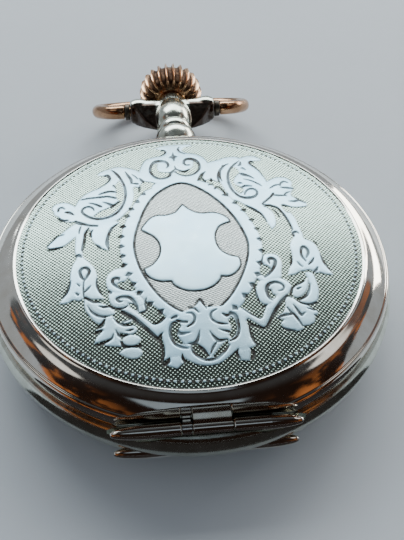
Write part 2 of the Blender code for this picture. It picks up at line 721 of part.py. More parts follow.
def make_main_plate():
    """Base plate of the movement with a raised rim that carries the bridges."""
    profile = [
        (PLATE_R, RIM_Z), (PLATE_R, PLATE_Z[0]), (0.85, PLATE_Z[0]), (0.85, PLATE_Z[1]),
        (RIM_INNER_R, PLATE_Z[1]), (RIM_INNER_R, RIM_Z),
    ]
    base = turned("main_plate", profile, NICKEL, segments=CASE_SEGMENTS)
    stem_hole = cylinder("plate_stem_hole", STEM_BORE_R, 18, 24, None, (0, 0, STEM_Z), "Y", 14)
    seconds_hole = cylinder("plate_seconds_hole", 0.5, 3, 7, None, (*FOURTH, 0), segments=14)
    cut(base, stem_hole, seconds_hole)
    for name, place in CASE_SCREWS.items():
        cut(base, cylinder(name + "_hole", 0.45, 7.0, 9.0, None, (*place, 0), segments=12))
    return base


def make_case_screws():
    """Screws whose heads overlap the case ledge and hold the movement in."""
    profile = [(0, 8.68), (1.05, 8.65), (1.05, 8.37), (0.4, 8.37), (0.4, 7.1), (0, 7.1)]
    for name, place in CASE_SCREWS.items():
        turned(name, profile, BLUED, (*place, 0), segments=14)


def bridge_screw(name, place, bridge):
    """A slotless round-headed screw sunk in a bridge, with its hole."""
    profile = [(0, 9.2), (0.85, 9.15), (0.85, 8.95), (0.45, 8.95), (0.45, 8.3), (0, 8.3)]
    turned(name, profile, BLUED, (*place, 0), segments=12)
    return cut(bridge, cylinder(name + "_hole", 0.5, 7.5, 9.5, None, (*place, 0), segments=12))


def make_barrel_bridge():
    """Upper left bridge over the barrel and the crown wheel, open over the winding pinion."""
    outline = [(8.0, 2.2)]
    outline += arc((0, 0), BRIDGE_R, 67.5, 83.7, 4)
    outline += [(2.3, 12.7), (-2.3, 12.7)]
    outline += arc((0, 0), BRIDGE_R, 96.3, 173.9, 16)
    holes = [circle(BARREL, 1.0), circle(CROWN_WHEEL, 0.85)]
    bridge = plate("barrel_bridge", [outline] + holes, *BRIDGE_Z, NICKEL)
    bridge_screw("barrel_bridge_screw_left", polar(18.6, 165), bridge)
    bridge_screw("barrel_bridge_screw_right", polar(17.6, 72), bridge)
    return bridge


def make_train_bridge():
    """Right and lower bridge over the centre, third, fourth and escape wheels."""
    outline = arc((0, 0), BRIDGE_R, -104.5, 58, 26)
    outline += [(8.4, 13.0), (8.4, 1.8), (-2.2, 1.8), (-2.5, -10.2), (-5.2, -12.0)]
    holes = [circle(place, 0.5, 12) for place in (CENTRE, THIRD, FOURTH, ESCAPE)]
    bridge = plate("train_bridge", [outline] + holes, *BRIDGE_Z, NICKEL)
    bridge_screw("train_bridge_screw_upper", polar(18.6, 30), bridge)
    bridge_screw("train_bridge_screw_lower", polar(18.6, -80), bridge)
    return bridge


def make_balance_cock():
    """Single-footed bridge over the balance, with its jewel and the regulator."""
    outline = arc((0, 0), BRIDGE_R, 207, 232, 6) + arc(BALANCE, 2.3, -60, 120, 10)
    cock = plate("balance_cock", [outline, circle(BALANCE, 0.45, 12)], *BRIDGE_Z, NICKEL)
    bridge_screw("balance_cock_screw", polar(18.4, 220), cock)
    cylinder("balance_jewel", 0.7, 8.95, 9.15, RUBY, (*BALANCE, 0), segments=14)
    tail = BALANCE + Vector((-0.62, 0.785)) * 4.6
    lead = BALANCE + Vector((0.8, -0.6)) * 2.6
    outline = arc(BALANCE, 1.25, -20, 110, 6)
    outline += [tuple(tail + Vector((0.1, 0.1))), tuple(tail - Vector((0.1, 0.1)))]
    outline += arc(BALANCE, 1.25, 150, 300, 6)
    outline += [tuple(lead)]
    return plate("regulator", [outline, circle(BALANCE, 0.8, 14)], 8.95, 9.12, STEEL, origin=BALANCE)


# ---------------------------------------------------------------- going train and escapement

def make_train():
    """Centre, third and fourth wheels with their pinions and arbors."""
    centre_arbor = [
        (0, 8.7), (0.42, 8.65), (0.42, 5.3), (0.45, 5.25), (0.45, 1.95), (0, 1.95),
    ]
    wheel_with_pinion("centre_wheel", CENTRE, CENTRE_TEETH, CENTRE_MODULE, (7.55, 7.8),
                      CENTRE_PINION_LEAVES, BARREL_MODULE, CENTRE_PINION_PHASE, (5.45, 7.0),
                      centre_arbor, GILT)
    third_arbor = [(0, 8.7), (0.35, 8.65), (0.35, 5.38), (0, 5.38)]
    wheel_with_pinion("third_wheel", THIRD, THIRD_TEETH, THIRD_MODULE, (7.1, 7.3),
                      THIRD_PINION_LEAVES, CENTRE_MODULE, THIRD_PINION_PHASE, (7.2, 8.0),
                      third_arbor, GILT)
    fourth_arbor = [(0, 8.7), (0.3, 8.65), (0.3, 2.7), (0, 2.7)]
    wheel_with_pinion("fourth_wheel", FOURTH, FOURTH_TEETH, FOURTH_MODULE, (6.2, 6.4),
                      FOURTH_PINION_LEAVES, THIRD_MODULE, FOURTH_PINION_PHASE, (6.3, 7.45),
                      fourth_arbor, GILT)


def make_escape_wheel():
    """Fifteen raked club teeth on a thin wheel, with its pinion."""
    tip_radius = 2.9
    root_radius = 2.25
    pitch = 360 / ESCAPE_TEETH
    outline = []
    for i in range(ESCAPE_TEETH):
        start = i * pitch
        outline += [tuple(ESCAPE + polar(root_radius, start)), tuple(ESCAPE + polar(root_radius, start + 0.5 * pitch)),
                    tuple(ESCAPE + polar(tip_radius, start + 0.85 * pitch)),
                    tuple(ESCAPE + polar(tip_radius - 0.08, start + 0.97 * pitch))]
    holes = crossings(ESCAPE, 0.95, 1.85, 4, 0.4)
    wheel = plate("escape_wheel", [outline] + holes, 6.7, 6.95, STEEL, origin=ESCAPE)
    pinion_points = gear_outline(ESCAPE_PINION_LEAVES, FOURTH_MODULE, ESCAPE_PINION_PHASE, ESCAPE)
    pinion = plate("escape_pinion_form", [pinion_points], 6.1, 6.8, None, origin=ESCAPE)
    shaft = turned("escape_arbor_form", [(0, 8.65), (0.25, 8.6), (0.25, 5.38), (0, 5.38)], None,
                   (*ESCAPE, 0), segments=10)
    return join(wheel, pinion, shaft)


def make_pallet_fork():
    """Lever with two pallets that straddle the escape wheel and a forked end at the balance."""
    outline = [
        (2.5, 0.35), (2.1, 0.35), (2.0, 0.16), (0.5, 0.3), (0.1, 0.9), (-0.7, 1.95), (-1.15, 2.05), (-1.05, 1.75),
        (-0.45, 0.6), (-0.45, -0.6), (-1.05, -1.75), (-1.15, -2.05), (-0.7, -1.95), (0.1, -0.9), (0.5, -0.3),
        (2.0, -0.16), (2.1, -0.35), (2.5, -0.35), (2.5, -0.12), (2.3, 0.0), (2.5, 0.12),
    ]
    lever_line = BALANCE - PALLET
    angle = math.atan2(lever_line.y, lever_line.x)
    fork = plate("pallet_fork", [place_outline(outline, PALLET, angle)], 6.75, 7.0, STEEL, origin=PALLET)
    shaft = turned("pallet_arbor_form", [(0, 7.3), (0.2, 7.25), (0.2, 5.38), (0, 5.38)], None,
                   (*PALLET, 0), segments=8)
    return join(fork, shaft)


def make_balance():
    """Screwed balance wheel, its staff with the roller, and the flat hairspring."""
    rim_outer = 5.05
    screw_count = 14
    outline = []
    for i in range(screw_count):
        middle = 360 * i / screw_count
        outline += [tuple(BALANCE + polar(rim_outer, middle - 8)), tuple(BALANCE + polar(rim_outer, middle - 4)),
                    tuple(BALANCE + polar(rim_outer + 0.3, middle - 4)),
                    tuple(BALANCE + polar(rim_outer + 0.3, middle + 4)),
                    tuple(BALANCE + polar(rim_outer, middle + 4))]
    holes = crossings(BALANCE, 0.9, 4.45, 3, 0.7)
    hub_hole = circle(BALANCE, 0.38, 12)
    plate("balance_wheel", [outline, hub_hole] + holes, 7.4, 7.8, GILT, origin=BALANCE)
    staff = [
        (0, 8.75), (0.15, 8.7), (0.15, 8.25), (0.33, 8.2), (0.33, 7.35), (0.6, 7.3), (0.6, 7.15), (1.0, 7.15),
        (1.0, 6.95), (0.4, 6.9), (0.2, 5.6), (0.2, 5.38), (0, 5.38),
    ]
    turned("balance_staff", staff, STEEL, (*BALANCE, 0), segments=12)
    outer_side = []
    inner_side = []
    turns = 6
    steps = turns * 9
    for i in range(steps + 1):
        angle = math.tau * turns * i / steps
        radius = 0.6 + 2.2 * i / steps
        across = Vector((math.cos(angle), math.sin(angle)))
        outer_side.append(tuple(BALANCE + across * (radius + 0.04)))
        inner_side.append(tuple(BALANCE + across * (radius - 0.04)))
    plate("hairspring", [outer_side + inner_side[::-1]], 7.92, 8.08, BLUED, origin=BALANCE)


# ---------------------------------------------------------------- dial side

def make_motion_work():
    """Cannon pinion, minute wheel and hour wheel, which drive the hands twelve to one."""
    cannon = ring("cannon_pinion", 0.5, 0.75, 1.6, 4.5, STEEL, segments=14)
    leaves = plate("cannon_leaves_form",
                   [gear_outline(CANNON_LEAVES, MINUTE_MODULE), circle((0, 0), 0.6, 12)], 4.1, 4.45, None)
    join(cannon, leaves)
    wheel = plate("minute_wheel", [gear_outline(MINUTE_TEETH, MINUTE_MODULE, MINUTE_PHASE, MINUTE)],
                  4.15, 4.4, GILT, origin=MINUTE)
    pinion = plate("minute_pinion_form", [gear_outline(MINUTE_PINION_LEAVES, HOUR_MODULE, 0.0, MINUTE)],
                   3.6, 4.25, None, origin=MINUTE)
    join(wheel, pinion)
    hour_outlines = [gear_outline(HOUR_TEETH, HOUR_MODULE, HOUR_PHASE), circle((0, 0), 0.85, 14)]
    hour = plate("hour_wheel", hour_outlines, 3.65, 3.9, GILT)
    pipe = ring("hour_pipe_form", 0.85, 1.15, 2.2, 3.8, None, segments=14)
    join(hour, pipe)


def make_dial():
    outlines = [circle((0, 0), 21.2, CASE_SEGMENTS), circle((0, 0), 1.35), circle(FOURTH, 0.5, 12)]
    return plate("dial", outlines, *DIAL_Z, ENAMEL)


def hand_outline(length, tail, hub, waist, bulb):
    """A pear-shaped hand pointing along +Y."""
    right = [(waist, hub), (waist * 0.8, length * 0.62), (bulb, length * 0.70), (bulb * 0.75, length * 0.77),
             (0.08, length)]
    left = [(-x, y) for x, y in reversed(right)]
    return right + left + [(-waist * 0.7, -hub), (-waist, -tail), (waist, -tail), (waist * 0.7, -hub)]


def make_hand(name, centre, clock_angle, outline, hub_radius, bore, low, high):
    """A hand set at a clockwise angle as the dial is read, from the -Z side."""
    turned_outline = place_outline(outline, centre, math.radians(clock_angle))
    blade = plate(name, [turned_outline], low, high, BLUED, origin=centre)
    hub = cylinder(name + "_hub_form", hub_radius, low - 0.02, high + 0.02, None, (*centre, 0), segments=12)
    join(blade, hub)
    return cut(blade, cylinder(name + "_bore", bore, low - 1, high + 1, None, (*centre, 0), segments=12))


def make_hands():
    make_hand("minute_hand", CENTRE, 60, hand_outline(16.8, 3.4, 1.0, 0.35, 0.85), 1.3, 0.8, 1.65, 1.85)
    make_hand("hour_hand", CENTRE, 305, hand_outline(11.2, 2.6, 1.4, 0.45, 1.3), 1.75, 1.2, 2.25, 2.45)
    make_hand("seconds_hand", FOURTH, 210, hand_outline(3.9, 1.3, 0.5, 0.12, 0.2), 0.6, 0.34, 2.72, 2.87)


# ---------------------------------------------------------------- assembly

def build_watch():
    make_case_band()
    make_hinge("back_hinge", BACK_JOINT_Z)
    make_hinge("bezel_hinge", BEZEL_JOINT_Z)
    make_back_cover()
    make_cuvette()
    hang_on_hinge(BEZEL_JOINT_Z, make_bezel(), make_crystal())
    make_pendant()
    make_bow_collars()
    make_bow()
    make_crown()
    make_winding_stem()
    make_keyless_pinions()
    make_setting_lever()
    make_crown_wheel()
    make_ratchet_wheel()
    make_click()
    make_barrel()
    make_main_plate()
    make_case_screws()
    make_barrel_bridge()
    make_train_bridge()
    make_balance_cock()
    make_train()
    make_escape_wheel()
    make_pallet_fork()
    make_balance()
    make_motion_work()
    make_dial()
    make_hands()


clear_scene()
PARTS = new_collection("pocket_watch")
CUTTERS = new_collection("cutters")
build_watch()
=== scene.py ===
import math

import bmesh
import bpy
import numpy as np
from mathutils import Matrix, Vector


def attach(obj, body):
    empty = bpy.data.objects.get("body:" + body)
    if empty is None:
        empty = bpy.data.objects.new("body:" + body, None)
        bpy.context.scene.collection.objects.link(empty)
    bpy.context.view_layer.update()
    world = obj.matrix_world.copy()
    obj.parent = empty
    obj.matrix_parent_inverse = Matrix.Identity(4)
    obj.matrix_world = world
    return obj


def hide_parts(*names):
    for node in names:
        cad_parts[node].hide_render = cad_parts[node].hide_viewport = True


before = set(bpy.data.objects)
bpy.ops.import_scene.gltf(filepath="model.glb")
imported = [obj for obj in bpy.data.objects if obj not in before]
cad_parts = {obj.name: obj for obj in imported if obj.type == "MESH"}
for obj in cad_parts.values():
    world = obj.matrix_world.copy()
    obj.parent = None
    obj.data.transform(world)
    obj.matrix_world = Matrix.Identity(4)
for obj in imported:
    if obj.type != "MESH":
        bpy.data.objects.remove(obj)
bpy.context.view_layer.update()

# Sizes in millimetres, in the frame's own axes
MM = 0.001
HINGE_Y = -24.0
BACK_JOINT_Z = 9.0
BEZEL_JOINT_Z = 4.8
STEM_Z = 7.2
BOW_Y = 37.7
BOW_HALF_WIDTH = 13.0
BOW_CENTRE = 5.2
BOW_HALF_LENGTH = 7.3
BOW_REST_GAP = 0.02
WIRE_R = 1.15
CROWN_R = 5.45
FLUTES = 24
TUBE_R = 0.75
TUBE_BORE_R = 0.36
DISC_R = 21.4
DISC_SINK = 0.18
PATTERN_TURN = math.radians(1.7)
SHIELD_TURN = math.radians(-2.7)
DOT_WAVE = 0.488
BEAD_COUNT = 172
BEAD_TRACK = 20.65
BEAD_BAND = 0.42
BEAD_R = 0.27
BEAD_PIT_R = 0.15
GRID_STEP = 0.1235
DOME_TOP = 13.35
DOME_FALL = 0.85
DOME_R = 20.4
RAISED = 0.05
PILLOW = 0.03
CUT_DEPTH = 0.09
DOT_DEPTH = 0.045
REACH = 0.8
OVAL_BAND = 1.75

# Outlines of the ornament in millimetres. A third value marks a sharp corner.
OVAL = [(-.3, 10.6), (1.2, 10.1), (2.7, 8.7), (4, 7), (5.2, 4.9), (6.2, 2.4), (6.8, 0), (7, -1.8),
        (6.75, -3.6), (6.1, -5.6), (5, -7.9), (3.4, -10.3), (1.6, -11.9), (-.1, -12.6), (-1.8, -11.9),
        (-3.4, -10.6), (-4.7, -8.8), (-5.85, -6.4), (-6.6, -4), (-6.95, -1.5), (-6.8, .6), (-6.2, 3),
        (-5.1, 6.1), (-3.8, 8.3), (-2, 9.9)]
SHIELD = [(-.6, 6.1, 1), (-1.1, 5.3), (-1.7, 4.5), (-2.8, 4.1), (-4, 4.1), (-4.9, 3.6), (-5.7, 2.4, 1),
          (-6, 1.6), (-5.3, .9, 1), (-4.4, .1), (-3.8, -1.2), (-3.8, -2.8), (-4.4, -4.1), (-5.1, -4.8),
          (-5.75, -5.1, 1), (-5.5, -6), (-4.8, -6.8), (-3.8, -7.25), (-2.6, -7.3, 1), (-2.2, -8),
          (-1.2, -8.7), (0, -8.95), (1.2, -8.85), (2.3, -8.3), (3.05, -7.5), (3.3, -6.9, 1), (4.2, -6.95),
          (5.1, -6.4), (5.75, -5.4), (5.8, -4.4), (5.6, -3.9, 1), (4.5, -3.5), (3.6, -2.6), (3.2, -1.4),
          (3.2, 0), (3.7, 1.3), (4.4, 1.9), (5.3, 2.3, 1), (5.1, 3), (4.3, 3.8), (3.3, 4.2), (1.9, 4.15),
          (.9, 4.5), (.1, 5.2)]
PLAIN = [
    # top centre, two volutes
    [(-5.5, 14.3, 1), (-5, 15.8), (-4.4, 16.8), (-3.3, 17.3), (-2.3, 17.5), (-1.7, 18), (-1.65, 18.6),
     (-2.2, 19.15), (-3.2, 19.5, 1), (-2, 20.1), (0, 20.25), (2, 20.1), (2.6, 19.6, 1), (1.5, 19.4),
     (1, 18.9), (1.05, 18.2), (1.6, 17.8), (2.7, 17.4), (3.6, 16.6), (4.1, 15.5), (4.2, 14.9, 1), (5, 13),
     (4, 11), (0, 10.4), (-4, 11.2), (-5.6, 12.4)],
    # left scroll with its leaves
    [(-9.8, 15.3, 1), (-8.6, 15.7), (-7.3, 15.3), (-6.3, 14.7), (-5.7, 14.2, 1), (-5, 13), (-4.8, 12),
     (-5.4, 11.2), (-5.6, 10.3, 1), (-6.5, 10.5), (-6.5, 9), (-6.7, 7.6), (-7.1, 6.3), (-7.9, 5.1),
     (-8.8, 4.1), (-10.2, 3.6), (-11.5, 3.4), (-12.6, 3.6), (-13.6, 4.2), (-14.4, 4.9), (-14.5, 6),
     (-14.4, 7.4), (-13.9, 8.9, 1), (-13.2, 9.9), (-12.2, 10.6), (-11.2, 11.1), (-10.4, 11.8), (-9.9, 12.7),
     (-10, 13.5), (-10.6, 13.8), (-11.3, 14), (-11.2, 14.6), (-10.6, 15)],
    # left lobes
    [(-13.8, 8.9, 1), (-14.2, 7.6, 1), (-14.9, 8.4), (-15.9, 8.9), (-16.9, 8.7), (-17.35, 8), (-17.1, 7.2),
     (-16.95, 6.5), (-16.4, 6), (-16.3, 5.5, 1), (-15.7, 5), (-15, 4.75), (-14.2, 4.7), (-13.3, 5.4),
     (-13, 7.4)],
    # left pointed leaf, stem and comma leaf
    [(-14, 4.5, 1), (-14.8, 3.9), (-15.8, 2.9), (-16.8, 2), (-17.7, .55, 1), (-16.9, .15), (-15.9, .25),
     (-15.1, .8), (-14.4, 1.5), (-13.9, 2.2), (-13.4, 3.4)],
    [(-14.2, 4.5), (-14.15, 2), (-14.2, 0), (-14.1, -1.1), (-13.3, -1), (-13.15, .8), (-12.9, 2.4),
     (-12.3, 3.6)],
    [(-12.4, 3.7), (-12.25, 2.2), (-12.1, 1), (-11.6, 0), (-11, -.7), (-10.1, -1.25, 1), (-9.95, 0),
     (-10.05, 1), (-9.75, 2), (-9.1, 3), (-8.7, 3.8), (-10.6, 4.1)],
    # left bell flower
    [(-14.1, -.9), (-13.3, -1), (-13.15, -1.9), (-12.4, -2.9), (-11.8, -4), (-11.5, -5.4), (-11.5, -6.8),
     (-11.2, -7.8), (-10.7, -8.8, 1), (-11.4, -8.7), (-12.2, -8.6), (-12.9, -8.1, 1), (-13.5, -8.6),
     (-14.3, -8.4), (-15, -8.75), (-15.9, -8.7, 1), (-15.5, -8), (-15, -6.9), (-14.75, -5.6), (-14.65, -4),
     (-14.4, -2.9), (-14, -2)],
    # left scrolls beside the oval
    [(-8, -4.5), (-8.9, -4.35), (-9.7, -4.6), (-10.3, -5.3), (-10.5, -6.2), (-10.4, -7.1), (-10.1, -7.9),
     (-9.3, -8.4), (-8.2, -8.4), (-7, -8.3), (-6.6, -7), (-7.2, -5.4)],
    [(-10.1, -7.7), (-10.25, -8.8), (-9.95, -9.8), (-9.3, -10.3), (-8.5, -10.3), (-7.8, -10.4),
     (-7.2, -11.1), (-6.3, -11.2), (-5.95, -10.6), (-6.2, -9.8), (-6.7, -8.9), (-7.4, -8.2), (-8.6, -7.9),
     (-9.6, -7.9)],
    [(-9, -10.5), (-8.2, -10.2), (-7.2, -11.2), (-6.2, -12.3), (-5.4, -13.1), (-4.6, -12.9), (-3.9, -12.3),
     (-3, -12.6), (-3.4, -14), (-4.2, -15), (-4.7, -14.4), (-5.2, -14.9, 1), (-6.3, -13.5), (-7.6, -11.9)],
    # left lower leaves and flower
    [(-13.05, -8.4, 1), (-13, -9.8), (-12.5, -10.9), (-11.9, -11.8), (-11.3, -12.3, 1), (-10.8, -11.6),
     (-10.9, -11.2), (-11.7, -10.6), (-12.3, -9.6), (-12.7, -8.7)],
    [(-13, -8.3, 1), (-12.1, -8.8), (-11, -9.4), (-10.2, -9.9), (-9.7, -10.6), (-9.7, -11.1),
     (-10.4, -11.2), (-11.2, -11), (-11.9, -10.4), (-12.4, -9.5)],
    [(-10.6, -11.3), (-9.8, -11.4), (-9.3, -12.3), (-8.3, -12.8), (-7.5, -13), (-7.3, -13.6), (-7.8, -14),
     (-8.6, -13.9), (-9.2, -13.6, 1), (-9.1, -14.5), (-8.9, -15.4), (-9.9, -15.3), (-10.8, -15.1),
     (-10.9, -14.9, 1), (-10.2, -14.3), (-12, -14.7, 1), (-11.7, -13.9), (-11, -13.1), (-11.9, -13, 1),
     (-10.9, -12.5)],
    [(-9, -14.8), (-8.7, -15.35), (-8, -15.5), (-7.3, -15.35), (-6.95, -14.8), (-7.3, -14.3), (-8, -14.1),
     (-8.7, -14.3)],
    [(-9.4, -16.3, 1), (-8.8, -15.8), (-8, -15.7), (-7.1, -16), (-6.9, -16.6), (-7.4, -17.1), (-8.4, -17)],
    [(-9.3, -12.4), (-8.2, -12), (-7.7, -12.1), (-8.2, -12.5)],
    # palmette
    [(-3, -12, 1), (-3.9, -12.8), (-4.5, -14), (-4.65, -15), (-4.5, -16.3), (-4.8, -17.8, 1), (-4, -17.5),
     (-2.9, -17.5), (-2.2, -18), (-1.2, -18.65), (0, -18.9), (1.2, -18.7), (2.3, -18), (3.1, -17.4),
     (4, -17.6), (4.7, -17.3), (5.4, -16.9, 1), (5, -16), (4.9, -14.8), (4.8, -13.7), (5.4, -13.2, 1),
     (4.4, -12), (3, -11.4), (1.6, -11.4), (.5, -11.2), (0, -10.3, 1), (-.6, -11.1), (-1.9, -11.7)],
    [(-4.2, -17.3, 1), (-2.8, -17.3, 1), (-2.7, -18.3, 1), (-3.4, -18.9, 1), (-4.4, -18.4, 1)],
    [(3.2, -17.2, 1), (4.7, -17.2, 1), (4.3, -18.8, 1), (3.2, -18.6, 1)],
    # right lower scrolls
    [(4.4, -12.2), (4.9, -13.3, 1), (6.5, -14.8, 1), (6.8, -14.6), (7.6, -13.6), (8.5, -12.4), (9.3, -11.4),
     (10.1, -10.6), (9.2, -10.2), (8.3, -11.2), (7.5, -11.8), (7.1, -12.6), (6.4, -13.6), (4.9, -12.1)],
    [(7.1, -8.4), (8, -8), (9, -7.85), (10, -8.1), (10.7, -8.8), (10.9, -9.5), (10.4, -10.3), (9.9, -10.7),
     (9, -11.2), (8.2, -11.6), (7.5, -11.8), (6.9, -11.4), (6.55, -10.6), (6.6, -9.6), (6.9, -8.9)],
    [(8.2, -4.4), (8.9, -4.05), (9.6, -4.05), (10.2, -4.4), (10.5, -5.2), (10.45, -6.1), (10.2, -7),
     (9.9, -8), (8.6, -8.4), (7.3, -8.2), (6.9, -7), (7.4, -5)],
    # right bell flower
    [(12.9, -1.4), (12.5, -2), (12.1, -3), (12.05, -4.4), (11.8, -5.7), (11.3, -6.5), (10.8, -7.7, 1),
     (11.7, -7.6), (12.4, -7.2), (13, -7.1), (13.7, -7), (14.1, -7.5), (14.8, -7.5), (15.4, -7.8),
     (16.4, -8, 1), (16.1, -7.1), (15.8, -5.9), (15.6, -4.4), (15.4, -3), (14.9, -2.2), (14.2, -1.7),
     (14.2, -.6), (13.6, -.1), (12.9, -.3)],
    # right lower leaves and flower
    [(13, -7.4), (13.8, -7.5), (14, -8.8), (13.95, -10.2), (13.6, -11.3), (13, -12), (12.1, -12.1),
     (11.3, -11.7), (11.9, -11.1), (12.5, -10.3), (13, -9.3), (13.05, -8.4)],
    [(13, -8.3), (12.3, -8.9), (11.4, -9.3), (10.9, -10), (10.8, -10.9), (11.5, -11), (12.2, -10.5),
     (12.8, -9.6)],
    [(9.9, -10.9), (10.7, -11.1), (11.7, -11.9), (12.6, -12.7), (13.1, -13.3), (12.6, -13.9), (12.4, -14.5),
     (11.7, -14.9), (10.9, -15), (11, -15.3), (10.2, -15.6), (9.2, -15.4), (8.7, -15), (8.6, -14.4),
     (9, -14), (8.3, -13.7), (8.6, -13.3), (9.2, -12.9), (9.6, -12)],
    # right upper leaves
    [(4.1, 15, 1), (5.5, 15.5), (7, 16.1), (8.3, 16.2), (9, 15.8, 1), (10, 16.2), (11, 16.2), (11.9, 15.4),
     (11.8, 14.9), (10.9, 14.9), (10.3, 14.6), (10.5, 13.8), (11.1, 12.6), (11.5, 11.3), (11.75, 9.9, 1),
     (12.3, 10.3), (13.2, 10.75), (14.3, 10.75), (15, 10.2), (15.25, 9.4), (14.95, 8.7), (15.2, 8.2),
     (14.7, 7.5), (14.5, 6.6), (15.1, 6.1), (16.2, 5.1, 1), (16.1, 4.4), (15.2, 4.2), (14, 4.25),
     (12.8, 4.8), (13.4, 3.6), (13.9, 2.2), (14, .8), (14.1, -.4), (13.2, -.3), (13, 1), (12.6, 2.6),
     (12, 4), (11.2, 4.7), (10.2, 4.2), (8.9, 4.5), (8, 5), (7.2, 5.8), (6.4, 6.4), (5.9, 7.6), (5.6, 8.8),
     (5.3, 10), (4.2, 11), (3.5, 12.6)],
    # right comma leaf
    [(8, 5.1), (8.8, 4.2), (9.5, 3.3), (9.95, 2.3), (10.2, 1.2), (10.5, .1, 1), (11.1, .9), (11.35, 2),
     (11.3, 3.2), (10.7, 4.4), (9.6, 5.3)],
]
POCKETS = [
    # inside the left scroll
    [(-8.95, 11.3, 1), (-8.4, 12.4, 1), (-8.05, 11.4), (-7.85, 10), (-7.9, 8.5), (-8.3, 7.1), (-8.9, 6),
     (-9.8, 5.25), (-11, 5), (-11.9, 5.3, 1), (-11.1, 6.1), (-10.3, 6.5), (-9.4, 7), (-8.5, 7.9, 1),
     (-8.85, 8.8), (-8.8, 9.8, 1)],
    # between the left scroll and the lobed edge
    [(-4.6, 11.5, 1), (-3.8, 11.2, 1), (-4.1, 10, 1), (-4.9, 9.6, 1), (-5.2, 10.4, 1)],
    # inside the small scrolls on the left
    [(-7.9, -5.9, 1), (-7.5, -6.9), (-7.1, -8, 1), (-8, -7.85), (-8.9, -7.4), (-9.2, -6.8), (-8.8, -6.5),
     (-8.3, -6.5)],
    [(-8.1, -9.8, 1), (-7.5, -9.9), (-7.15, -10.5), (-7.15, -11, 1), (-7.8, -10.4)],
    [(-6.1, -9.8, 1), (-5.5, -10.3), (-4.6, -11.3), (-4.05, -12.2, 1), (-5.1, -13), (-5.8, -12.7),
     (-6.9, -11.4, 1), (-6.1, -11)],
    # palmette
    [(-3.15, -13, 1), (-2.6, -13.05, 1), (-2.5, -13.7), (-2.9, -14.2), (-2.9, -15), (-2.5, -15.8),
     (-2.3, -16.1, 1), (-3.2, -15.7), (-3.6, -14.8), (-3.55, -13.8)],
    [(3.2, -12.9, 1), (3.55, -13.5), (3.65, -14.4), (3.4, -15.3), (2.8, -15.9, 1), (2.6, -15.3), (3, -14.5),
     (2.8, -13.6)],
    [(-1.7, -16.2, 1), (-1, -16.1), (-.3, -17), (.1, -17.8, 1), (-.4, -18), (-1.1, -17.5)],
    [(.5, -17.8, 1), (1.4, -16.8), (2.4, -15.9, 1), (2.3, -16.7), (1.4, -17.6), (.7, -18)],
    # top rings
    [(-2.9, 15.6), (-3.5, 15.3), (-3.85, 14.2), (-3.6, 13), (-3, 12.3), (-2.3, 12.2), (-1.6, 12.6),
     (-1.3, 13.2, 1), (-2, 13.3), (-2.7, 13.6), (-3, 14.3), (-3, 15)],
    [(2.3, 15.9, 1), (2.8, 14.8), (2.7, 13.7), (2, 12.8), (1.1, 12.4), (.2, 12.6), (-.5, 13.4, 1),
     (.3, 13.3), (1.2, 13.5), (1.9, 14.1), (2.2, 15)],
    # small scrolls on the right
    [(8, -5.6, 1), (8.8, -6.1, 1), (8.9, -6.7), (8, -7.7, 1), (7.6, -7), (7.8, -6)],
    [(6.2, -9.7, 1), (6.5, -10.8), (7.2, -11.9), (6.95, -12.8), (6.3, -13.4, 1), (4.8, -12), (4.9, -11.3),
     (5.4, -10.2)],
    [(8.05, -9.6), (8.4, -9.7), (8.5, -10.3), (8.8, -10.6), (8.5, -11), (8.1, -10.7)],
    # right upper leaves
    [(3.1, 12.6, 1), (3.1, 11.4, 1), (3.4, 10.4, 1), (2.4, 11, 1), (2.7, 12)],
    [(4.4, 9.9, 1), (5.2, 10.6, 1), (5.5, 9.4), (5.7, 7.7, 1), (5.1, 8.6)],
    [(7.5, 13.7, 1), (8.1, 13.2), (8.3, 12.2, 1), (7.6, 11.3), (7.15, 10.2), (7.4, 9.4), (8.2, 8.6),
     (8.1, 7.9, 1), (7.6, 7.6), (7.1, 8.4), (6.75, 10), (6.85, 11.7)],
    [(12.7, 4.7, 1), (13.4, 4.4), (14.1, 4.1), (13.3, 3.2), (12.8, 3.9)],
    [(10.3, 4.6), (11, 4.4), (11.6, 3.6), (12, 2.6), (12.4, 2.4), (12.3, 3.6), (11.7, 4.5), (10.9, 4.9)],
]
